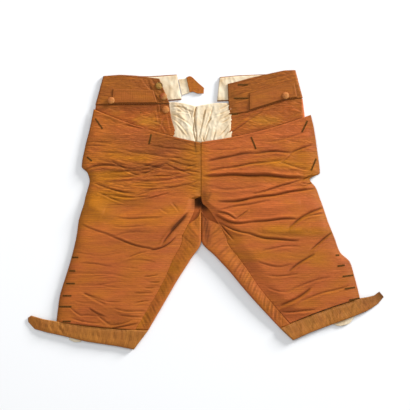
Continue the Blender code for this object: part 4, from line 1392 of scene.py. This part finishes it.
# ---------------------------------------------------------------------------------------------
# The fob pocket welts
# A straight welt of the waistband's silk on each front half, over the mouth of a fob pocket.
# It is stitched down at both ends and along its lower edge.
# ---------------------------------------------------------------------------------------------
WELT_SILK = 1.3
Welt = namedtuple("Welt", "front_end side_end upper lower")
WELT = {
    # as parts of the length and of the depth of the front of the waistband
    LEFT: Welt(0.17, 0.80, 0.48, 0.97),
    RIGHT: Welt(0.32, 0.95, 0.46, 0.97),
}


def waistband_grid(side, parts, depths):
    """Grids of out and down on the front of a waistband, at parts of its length and depth."""
    ribs = np.array([rib[0:4] for rib in WAISTBAND_FRONT[side] + [WAISTBAND_SIDE[side]]], float)
    stops = np.abs(ribs[:, 0] - ribs[0, 0])
    line = np.stack([np.interp(parts * stops[-1], stops, column) for column in ribs.T])
    depths = depths[:, None]
    return line[0] * (1 - depths) + line[2] * depths, line[1] * (1 - depths) + line[3] * depths


def make_fob_welt(side, word):
    welt = WELT[side]
    columns, rows = 60, 16
    parts = np.linspace(welt.front_end, welt.side_end, columns + 1)
    depths = np.linspace(welt.upper, welt.lower, rows + 1)
    out, down = waistband_grid(side, parts, depths)
    column = np.arange(columns + 1)[None, :] * np.ones(out.shape)
    row = np.arange(rows + 1)[:, None] * np.ones(out.shape)
    edge = np.minimum(np.minimum(column, columns - column), np.minimum(row, rows - row)) * 1.9
    height = WAISTBAND_TOP + 1.25 + WELT_SILK + 0.7 * ease(edge / 4)
    height += 0.35 * hump(edge, 1.9, 1.4) - 0.3 * hump(edge, 5.2, 1.1)
    pleats = np.sin(out * 1.25 + 1.5 * uneven(out, down, 9, 14, 83)) * (0.6 if side == LEFT else 0.25)
    height += (0.3 * crumpled(out, down, 26, 9, 81 + side) + 0.35 * pleats) * ease(edge / 6)
    turn = 0.2 + 0.3 * uneven(out, down, 30, 12, 9 + side)
    # Painted shade: a little all over, more along the welt's edges and in the groove of its stitching.
    shade = 0.08 + 0.5 * hump(edge, 0, 1.2) + 0.22 * hump(edge, 5.2, 1.0)
    return sewn_cloth("fob_welt_" + word + "_silk", side, out, down, height, WELT_SILK, waist_silk,
                      turn=turn, shade=shade)


for side, word in SIDE_WORDS:
    lay(make_fob_welt(side, word), "fob_welt_" + word)


# ---------------------------------------------------------------------------------------------
# The knee bands
# A straight strip cut across the grain, so its ribs stand upright and it looks olive. The leg is
# gathered into it; it closes round the knee, and its end runs on past the vent as a buckle strap.
# ---------------------------------------------------------------------------------------------
BAND_TOP = 6.6
BAND_SEAM = 0.9
KNEE_BAND_ROWS = 20
KNEE_BAND_DEPTH = 36
Hem = namedtuple("Hem", "part low_out low_down")
BAND_FRONT = {
    LEFT: rows(Hem,
        # part of the leg's breadth from the side seam, low_out, low_down
        (0, 325, 609),
        (0.33, 262, 624),
        (0.66, 196, 634),
    ),
    RIGHT: [Hem(0, 355, 564), Hem(0.33, 309, 581), Hem(0.66, 253, 602)],
}
BAND_FOLD = {LEFT: Hem(1, 155, 642), RIGHT: Hem(1, 210, 621)}
BAND_BACK = {
    LEFT: [Hem(0.66, 196, 634), Hem(0.1, 306, 612)],
    RIGHT: [Hem(0.66, 253, 602), Hem(0.1, 341, 569)],
}
BAND_TAB = {LEFT: rows(Rib,
    # top_out, top_down, low_out, low_down, height
    (399, 569, 398, 579, 2.4),                 # end of the strap
    (391, 564, 383, 595, 3.4),
    (362, 572, 354, 603, 5.6),
), RIGHT: rows(Rib,
    (409, 509, 419, 521, 2.4),
    (396, 518, 405, 538, 3.4),
    (382, 521, 381, 553, 5.6),
)}
BAND_CREASES = {LEFT: rows(Crease,
    # from_out, from_down, to_out, to_down, bow, depth, half_width, lean
    (380, 572, 372, 596, 0, -0.9, 4, 1),
    (352, 578, 340, 600, 0, -0.8, 4, 1),
    (330, 586, 318, 604, 0, -0.9, 5, -1),
    (300, 590, 292, 612, 0, -1.0, 5, 1),
    (272, 592, 264, 616, 0, -0.7, 4, 1),
    (240, 600, 236, 620, 0, -0.9, 5, -1),
    (206, 600, 198, 628, 0, -0.7, 4, 1),
    (176, 602, 170, 632, 0, -0.9, 5, 1),
), RIGHT: rows(Crease,
    (396, 520, 388, 544, 0, -0.9, 4, 1),
    (372, 528, 368, 552, 0, -0.8, 4, -1),
    (346, 540, 340, 562, 0, -0.9, 5, 1),
    (318, 552, 316, 572, 0, -0.8, 4, 1),
    (288, 562, 284, 584, 0, -1.0, 5, -1),
    (256, 576, 252, 596, 0, -0.8, 4, 1),
    (226, 584, 224, 610, 0, -0.9, 5, 1),
)}

band_silk = ribbed_silk("band_silk", (0.33, 0.105, 0.018), (0.36, 0.140, 0.02), 620, crosswise=True)


def leg_end(side, part):
    """The point at a part of the breadth of the leg's last level, from its side seam."""
    level = LEG[side][-1]
    spot = np.array(level[0:2]) * (1 - part) + np.array(level[2:4]) * part
    spot[1] += level.sag * 4 * part * (1 - part) + BAND_SEAM
    return spot


def make_knee_band(side, word):
    def rib(hem, height):
        return Rib(*leg_end(side, hem.part), hem.low_out, hem.low_down, height)
    upper = BAND_TAB[side] + [rib(hem, BAND_TOP) for hem in BAND_FRONT[side]]
    lower = [rib(hem, 0.0) for hem in BAND_BACK[side]]
    out, down, height, run = doubled_strip(
        upper, rib(BAND_FOLD[side], 0.0), lower, BAND_TOP / 2, KNEE_BAND_ROWS)
    part = np.linspace(0, 1, KNEE_BAND_ROWS + 1)[:, None] * np.ones(out.shape)
    breadth = np.hypot(out[-1:] - out[0:1], down[-1:] - down[0:1])
    on_front = ease((height - 2.3) / 3) * (run < run.max() * 0.62)
    from_edge = np.minimum(part, 1 - part) * breadth
    swell = 2.6 * np.sqrt(np.clip(1 - (2 * part - 1) ** 4, 0, 1)) - 0.4
    height += on_front * (swell + creased(BAND_CREASES[side], out, down)
                          + 0.5 * crumpled(out, down, 9, 26, 91 + side)
                          + 1.0 * uneven(out, down, 34, 40, 92 + side))
    gathers = crumpled(run, part * KNEE_BAND_ROWS, 4.2, 60, 93 + side)
    height += on_front * 0.5 * np.maximum(gathers, -0.6) * np.exp(-part * breadth / 7)
    height += on_front * (0.4 * hump(from_edge, 1.4, 1.2)
                          - 0.35 * hump(from_edge, 4.4, 0.9))
    height = at_least(height, np.minimum(height, 0.0) + SILK * (run < run.max() * 0.5))
    # The slope term in the tone is painted sheen.
    turn = 0.5 + 0.4 * uneven(out, down, 26, 30, 10 + side) - 0.4 * lit_share(out, down, height)
    # Darker towards the end of the strap; painted shade at the bottoms of the creases and along the gathers.
    tip = np.exp(-run / 9)
    shade = 0.75 * np.exp(-run / 26) if side == RIGHT else 0.3 * tip
    shade = shade + on_front * (0.02 + 0.35 * crease_lines(BAND_CREASES[side], out, down))
    shade += on_front * 0.22 * np.maximum(gathers, 0) * (part < 0.6)
    return sewn_cloth("knee_band_" + word + "_silk", side, out, down, height, SILK, band_silk,
                      turn=turn, shade=shade, weave=(run, part * KNEE_BAND_DEPTH))


for side, word in SIDE_WORDS:
    lay(make_knee_band(side, word), "knee_band_" + word)


# ---------------------------------------------------------------------------------------------
# The linen that hangs out below the knee bands
# The legs are lined with the same linen. On the right its edge hangs out under the vent, and on
# the left a sliver of it shows below the hem.
# ---------------------------------------------------------------------------------------------
KNEE_LINING = rows(Panel,
    # side_out, side_down, inner_out, inner_down, sag: inside the band to where it hangs out
    (353, 556, 353, 565, 0),
    (335, 560, 338, 583, 0),
    (315, 566, 316, 588, 0),
    (300, 572, 300, 583, 0),
)
LEFT_SLIVER = [Panel(305, 600, 304, 619, 0), Panel(290, 603, 289, 625, 0), Panel(276, 606, 276, 624, 0)]


def make_knee_lining(name, side, levels):
    out, down = panel_grid(levels, 1.2)
    height = LINING_LEVEL + LINEN + 0.12 * crumpled(out, down, 5, 16, 95)
    turn = 0.25 + 0.5 * uneven(out, down, 7, 7, 5)
    return sewn_cloth(name, side, out, down, height, LINEN, linen, turn=turn)


lay(make_knee_lining("knee_lining_right_linen", RIGHT, KNEE_LINING), "knee_lining_right")
sliver = make_knee_lining("knee_lining_left_linen", LEFT, LEFT_SLIVER)
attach(sliver, "root")


# ---------------------------------------------------------------------------------------------
# The back strap
# A short strap at the centre back that drew the waist in through a buckle, now lost. Its root is
# linen like the lining, and its pointed end is silk, folded over to lie beside the opening.
# ---------------------------------------------------------------------------------------------
BACK_STRAP = rows(Panel,
    # side_out, side_down, inner_out, inner_down, sag
    (53, 21, 45, 58, 0),
    (31, 18, 22, 50, 0),
)
BACK_STRAP_TIP = rows(Panel,
    (35, 17, 27, 51, 0),
    (27, 14, 20, 50, 0),
    (8, 29, 8, 54, 0),
    (-6, 41, -5, 54, 0),
)
STRAP_SILK = 1.4
TIP_HEIGHTS = [2.1, 2.2, 2.0, 0.7]


def make_strap(name, levels, heights, thickness, material, turn):
    out, down = panel_grid(levels, 1.2)
    rows = np.linspace(0, 1, len(out))
    height = np.interp(rows, np.linspace(0, 1, len(heights)), heights)[:, None] + thickness
    height = height * np.ones(out.shape)
    part = np.linspace(0, 1, out.shape[1])[None, :]
    edge = np.minimum(part, 1 - part) * 36
    height += 0.35 * hump(edge, 1.4, 1.2) + 0.3 * np.maximum(
        crumpled(out, down, 9, 14, 97), -0.2)
    return sewn_cloth(name, LEFT, out, down, height, thickness, material,
                      turn=turn + 0.3 * uneven(out, down, 9, 12, 11))


lay(make_strap("back_strap_linen", BACK_STRAP, [0.3, 0.3], 1.4, linen, 0.3), "back_strap")
lay(make_strap("back_strap_tip_silk", BACK_STRAP_TIP, TIP_HEIGHTS, STRAP_SILK, waist_silk, 0.35),
    "back_strap_tip")


# ---------------------------------------------------------------------------------------------
# The buttons
# Turned wooden moulds covered with a round of silk that is gathered behind them. Each sits on a
# short shank of thread. Two fasten the fall's corners, and three run down the left front edge.
# ---------------------------------------------------------------------------------------------
Button = namedtuple("Button", "node side out down level radius cover")
WELT_TOP = WAISTBAND_TOP + 2.2
BUTTONS = rows(Button,
    # node, side, out, down, level of the cloth below, radius, cover
    ("fall_button_left", LEFT, 207, 70, WELT_TOP, 8.2, "copper"),
    ("fall_button_right", RIGHT, 193, 59, WELT_TOP, 8.2, "copper"),
    ("front_button_1", LEFT, 97, 36, WAISTBAND_TOP + 0.6, 8.4, "olive"),
    ("front_button_2", LEFT, 87, 61, WAISTBAND_TOP + 0.6, 8.2, "worn"),
    ("front_button_3", LEFT, 82, 91, FRONT_LEVEL + BEARER_SILK, 8.4, "copper"),
)
button_silks = {
    "copper": ribbed_silk("button_silk", (0.40, 0.125, 0.03), (0.42, 0.17, 0.04), 900),
    "olive": ribbed_silk("button_silk_olive", (0.33, 0.17, 0.035), (0.3, 0.15, 0.03), 900),
    "worn": ribbed_silk("button_silk_worn", (0.30, 0.07, 0.02), (0.42, 0.21, 0.06), 900),
}


DOME = (
    # how far each ring of the dome is above the one before, and how many times as broad
    (0.25, 1.62), (0.75, 1.12), (0.9, 0.97), (0.85, 0.84), (0.55, 0.72), (0.3, 0.6), (0.08, 0.45),
)


def raise_top(distance, breadth):
    """Extrudes the selected top face by a distance and makes it so many times as broad."""
    bpy.ops.mesh.extrude_region_move(TRANSFORM_OT_translate={"value": (0, 0, distance)})
    bpy.ops.transform.resize(value=(breadth, breadth, 1))


def cover_button(button):
    radius = button.radius * MM
    bpy.ops.mesh.primitive_cylinder_add(vertices=32, radius=radius * 0.55, depth=0.8 * MM,
                                        location=(0, 0, 0.4 * MM))
    piece = bpy.context.object
    piece.name = button.node + "_covered"
    bpy.ops.object.mode_set(mode="EDIT")
    bpy.ops.mesh.select_all(action="DESELECT")
    mesh = bmesh.from_edit_mesh(piece.data)
    for face in mesh.faces:
        face.select = face.normal.z > 0.9
    bmesh.update_edit_mesh(piece.data)
    for distance, breadth in DOME:
        raise_top(distance * MM, breadth)
    bpy.ops.mesh.poke()
    bpy.ops.object.mode_set(mode="OBJECT")
    rounding = piece.modifiers.new("rounding", "SUBSURF")
    rounding.levels = 2
    rounding.render_levels = 2
    bpy.ops.object.modifier_apply(modifier="rounding")
    turns = 13 + len(button.node) % 4
    for vertex in piece.data.vertices:
        x, y = vertex.co.xy
        away = math.hypot(x, y) / radius
        angle = math.atan2(y, x)
        pleat = math.sin(turns * angle + 2 * math.sin(3 * angle)) * ease((away - 0.55) / 0.4)
        rough = noise.noise(vertex.co * 240 + Vector((button.out, 0, 0)))
        vertex.co.z += (0.16 * pleat + 0.3 * rough) * MM
        vertex.co.xy *= 1 + 0.02 * pleat
    place = ((CENTRE_X + button.side * button.out) * MM, (WAIST_Y - button.down) * MM, button.level * MM)
    piece.data.transform(Matrix.Translation(place))
    piece.data.shade_smooth()
    weave = piece.data.uv_layers.new(name="weave") if not piece.data.uv_layers else piece.data.uv_layers[0]
    weave.name = "weave"
    for loop in piece.data.loops:
        weave.data[loop.index].uv = piece.data.vertices[loop.vertex_index].co.xy
    turn = piece.data.attributes.new("turn", "FLOAT", "POINT")
    shade = piece.data.attributes.new("shade", "FLOAT", "POINT")
    for vertex in piece.data.vertices:
        offset = (vertex.co.xy - Vector(place[0:2])) / radius
        # The tone turns from copper towards gold from one side of the dome to the other, as the shot silk
        # changes hue with its slope: painted sheen.
        turn.data[vertex.index].value = 0.4 + 0.5 * offset.x - 0.3 * offset.y
        bare = button.cover == "olive" and 0.62 < offset.length < 0.98 and offset.x + offset.y > 0.5
        shade.data[vertex.index].value = 0.75 if bare else 0.0
    piece.data.materials.clear()
    piece.data.materials.append(button_silks[button.cover])
    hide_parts(button.node)
    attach(piece, "root")
    return piece


for button in BUTTONS:
    cover_button(button)


# ---------------------------------------------------------------------------------------------
# Buttonholes and hand stitching
# Every edge is sewn by hand: worked buttonholes in dark olive twist on the fall, the right front
# edge and the knee vents, and rows of small stitches along the seams, edges and welts.
# ---------------------------------------------------------------------------------------------
def thread_finish(name, colour):
    material, shader = new_finish(name, Roughness=0.8)
    shader.inputs["Specular IOR Level"].default_value = 0.15
    tree = material.node_tree
    coordinates = tree.nodes.new("ShaderNodeTexCoord")
    fibres = add_noise(tree, coordinates.outputs["Object"], (900, 900, 900), 2.0)
    light = add_sum(tree, 0.7, (fibres, 0.6))
    tree.links.new(add_mix(tree, "MULTIPLY", 1.0, (*colour, 1), light), shader.inputs["Base Color"])
    bump = tree.nodes.new("ShaderNodeBump")
    bump.inputs["Distance"].default_value = 0.0001
    tree.links.new(fibres, bump.inputs["Height"])
    tree.links.new(bump.outputs["Normal"], shader.inputs["Normal"])
    return material


dark_twist = thread_finish("dark_twist", (0.135, 0.058, 0.007))
slit_shadow = thread_finish("slit_shadow", (0.05, 0.014, 0.002))
copper_thread = thread_finish("copper_thread", (0.26, 0.078, 0.014))

# One stitch, used for every seam: a thread that comes up, lies on the cloth and goes down again
bpy.ops.mesh.primitive_uv_sphere_add(segments=6, ring_count=4, radius=1)
stitch_model = bpy.context.object
stitch_points = np.array([vertex.co[:] for vertex in stitch_model.data.vertices])
stitch_faces = [list(face.vertices) for face in stitch_model.data.polygons]
bpy.data.objects.remove(stitch_model)


def stitched(name, stitches, material, cloth_pieces, sink=0.0):
    """One piece of many stitches, each (out, down, length, breadth, thickness, turn) on a side."""
    points, faces = [], []
    for side, out, down, length, breadth, thickness, turn in stitches:
        place = np.array([(CENTRE_X + side * out) * MM, (WAIST_Y - down) * MM])
        level = cloth_level(place, cloth_pieces)
        along = np.array([math.cos(turn) * side, -math.sin(turn)])
        aside = np.array([along[1], -along[0]])
        half = stitch_points * np.array([length / 2, breadth / 2, thickness / 2]) * MM
        flat = place + half[:, 0:1] * along + half[:, 1:2] * aside
        levels = level + half[:, 2:3] + (thickness * 0.15 - sink) * MM
        first = len(points) * len(stitch_points)
        points.append(np.hstack([flat, levels]))
        faces += [[corner + first for corner in face] for face in stitch_faces]
    mesh = bpy.data.meshes.new(name)
    mesh.from_pydata(np.vstack(points).tolist(), [], faces)
    tidy = bmesh.new()
    tidy.from_mesh(mesh)
    bmesh.ops.recalc_face_normals(tidy, faces=tidy.faces)
    tidy.to_mesh(mesh)
    tidy.free()
    mesh.materials.append(material)
    mesh.shade_smooth()
    piece = bpy.data.objects.new(name, mesh)
    bpy.context.collection.objects.link(piece)
    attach(piece, "root")
    return piece


BARE_TABLE_LEVEL = 0.002


def cloth_level(place, cloth_pieces):
    """Height in metres of the uppermost of the pieces at a place on the table."""
    hits = [piece.ray_cast(Vector((*place, 0.1)), Vector((0, 0, -1))) for piece in cloth_pieces]
    return max([spot.z for found, spot, *rest in hits if found], default=BARE_TABLE_LEVEL)


# A buttonhole from its outer end to its inner one
Hole = namedtuple("Hole", "side from_out from_down to_out to_down")
FALL_HOLES = rows(Hole,
    (LEFT, 115, 148, 120, 170),
    (RIGHT, 114, 154, 125, 181),
    (LEFT, 243, 112, 227, 135),
    (RIGHT, 243, 117, 231, 142),
    (LEFT, 262, 200, 251, 209),
    (RIGHT, 263, 204, 252, 230),
)
FRONT_HOLES = rows(Hole,
    (RIGHT, 84, 34, 107, 34),
    (RIGHT, 75, 65, 107, 65),
    (RIGHT, 68, 101, 84, 101),
)
VENT_HOLES = rows(Hole,
    (LEFT, 297, 430, 282, 430),
    (LEFT, 303, 461, 289, 461),
    (LEFT, 310, 490, 290, 490),
    (LEFT, 318, 518, 298, 518),
    (LEFT, 326, 543, 298, 543),
    (LEFT, 318, 577, 300, 577),
    (RIGHT, 316, 425, 308, 425),
    (RIGHT, 328, 448, 312, 450),
    (RIGHT, 348, 471, 324, 474),
    (RIGHT, 352, 499, 329, 502),
    (RIGHT, 363, 524, 339, 528),
)
TWIST_STEP = 0.85


def buttonhole_stitches(hole):
    """Blanket stitches down both lips of a slit and round its ends."""
    run = np.array([hole.to_out - hole.from_out, hole.to_down - hole.from_down], float)
    length = np.linalg.norm(run)
    way = run / length
    across = np.array([-way[1], way[0]])
    turn = math.atan2(way[1], way[0])
    stitches = []
    for distance in np.arange(0, length, TWIST_STEP):
        for lip in (-1, 1):
            spot = np.array([hole.from_out, hole.from_down]) + way * distance + across * lip * 1.2
            stitches.append((hole.side, *spot, 2.4, 0.8, 0.75, turn + math.pi / 2 + 0.12 * lip))
    for end in (0, length):
        spot = np.array([hole.from_out, hole.from_down]) + way * end
        stitches.append((hole.side, *spot, 3.8, 1.0, 1.0, turn + math.pi / 2))
    return stitches


# Dark strips down the middle of a buttonhole, coloured as the shadow in its open slit: painted shadow.
def slit(hole):
    middle_out = (hole.from_out + hole.to_out) / 2
    middle_down = (hole.from_down + hole.to_down) / 2
    steps = 5
    run_out, run_down = hole.to_out - hole.from_out, hole.to_down - hole.from_down
    length = math.hypot(run_out, run_down)
    turn = math.atan2(run_down, run_out)
    for step in range(steps):
        part = (step + 0.5) / steps - 0.5
        yield (hole.side, middle_out + run_out * part, middle_down + run_down * part,
               length / steps * 1.5, 1.2, 1.0, turn)


front_cloth = [fronts[LEFT], fronts[RIGHT]]
waist_cloth = [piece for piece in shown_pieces() if piece.name.startswith(("waistband", "bearer", "fob"))]
leg_cloth = front_cloth + [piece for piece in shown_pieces() if piece.name.startswith("knee_band")]
for name, holes, cloth_pieces in (("fall", FALL_HOLES, front_cloth),
                                  ("front_edge", FRONT_HOLES, waist_cloth),
                                  ("knee_vent", VENT_HOLES, leg_cloth)):
    lips = [stitch for hole in holes for stitch in buttonhole_stitches(hole)]
    stitched(name + "_buttonholes", lips, dark_twist, cloth_pieces)
    shadow_strips = [part for hole in holes for part in slit(hole)]
    stitched(name + "_slit_shadows", shadow_strips, slit_shadow, cloth_pieces)


def running_stitches(side, spots, spacing, length):
    """Small stitches along a line of (out, down) spots."""
    spots = np.array(spots, float)
    stops = np.concatenate([[0], np.cumsum(np.linalg.norm(np.diff(spots, axis=0), axis=1))])
    stitches = []
    for count, distance in enumerate(np.arange(spacing, stops[-1] - spacing / 2, spacing)):
        drift = 0.35 * math.sin(count * 2.3) * math.sin(count * 0.7)
        out = np.interp(distance + drift, stops, spots[:, 0])
        down = np.interp(distance + drift, stops, spots[:, 1])
        row = min(np.searchsorted(stops, distance), len(spots) - 1)
        run = spots[row] - spots[row - 1]
        turn = math.atan2(run[1], run[0]) + 0.15 * math.sin(count * 1.7)
        stitches.append((side, out, down + 0.3 * drift, length, 0.55, 0.5, turn))
    return stitches


def fall_line(side, from_edge):
    edge = FALL[side][0]
    for part in np.linspace(0.02, 0.98, 24):
        out = edge.side_out + (edge.inner_out - edge.side_out) * part
        down = edge.side_down + (edge.inner_down - edge.side_down) * part
        yield out, down + edge.sag * 4 * part * (1 - part) + from_edge


def waistband_line(side, depth, start=0.03, end=0.95):
    out, down = waistband_grid(side, np.linspace(start, end, 20), np.array([depth]))
    return list(zip(out[0], down[0]))


def side_line(side, upper, lower, inwards):
    rows = [level for level in LEG[side] if upper <= level.side_down <= lower]
    return [(level.side_out - inwards, level.side_down) for level in rows]


seams, edges = [], []
for side, word in SIDE_WORDS:
    welt = WELT[side]
    edges += running_stitches(side, list(fall_line(side, 5.2)), 3.4, 1.5)
    seams += running_stitches(side, waistband_line(side, 0.05), 3.6, 1.5)
    seams += running_stitches(side, waistband_line(side, 0.95), 3.2, 1.6)
    seams += running_stitches(side, waistband_line(side, welt.upper + 0.05, welt.front_end, welt.side_end),
                              3.4, 1.5)
    seams += running_stitches(side, waistband_line(side, welt.lower - 0.05, welt.front_end, welt.side_end),
                              3.0, 1.5)
    for part in (0.12, 0.88):
        ends = [waistband_line(side, depth, welt.front_end + 0.02, welt.side_end - 0.02)
                for depth in (welt.upper + 0.04, welt.lower - 0.04)]
        which = 0 if part < 0.5 else -1
        seams += running_stitches(side, [ends[0][which], ends[1][which]], 3.0, 1.5)
    edges += running_stitches(side, side_line(side, 340, 600, 5), 3.6, 1.5)
    edges += running_stitches(
        side, [leg_end(side, part) + (0, 3.4) for part in np.linspace(0.03, 0.97, 20)], 3.2, 1.6)
stitched("waist_stitching", seams, copper_thread, waist_cloth)
stitched("front_stitching", edges, copper_thread, leg_cloth)

# Loose ends of the thread that held a fall button on each bearer
TUFTS = ((LEFT, 139, 98), (LEFT, 132, 104), (RIGHT, 105, 97))
tuft = []
for side, out, down in TUFTS:
    for turn in (0.2, 1.1, 2.0, 2.7):
        tuft.append((side, out, down, 3.4, 0.8, 1.1, turn))
stitched("lost_button_threads", tuft, dark_twist, waist_cloth)
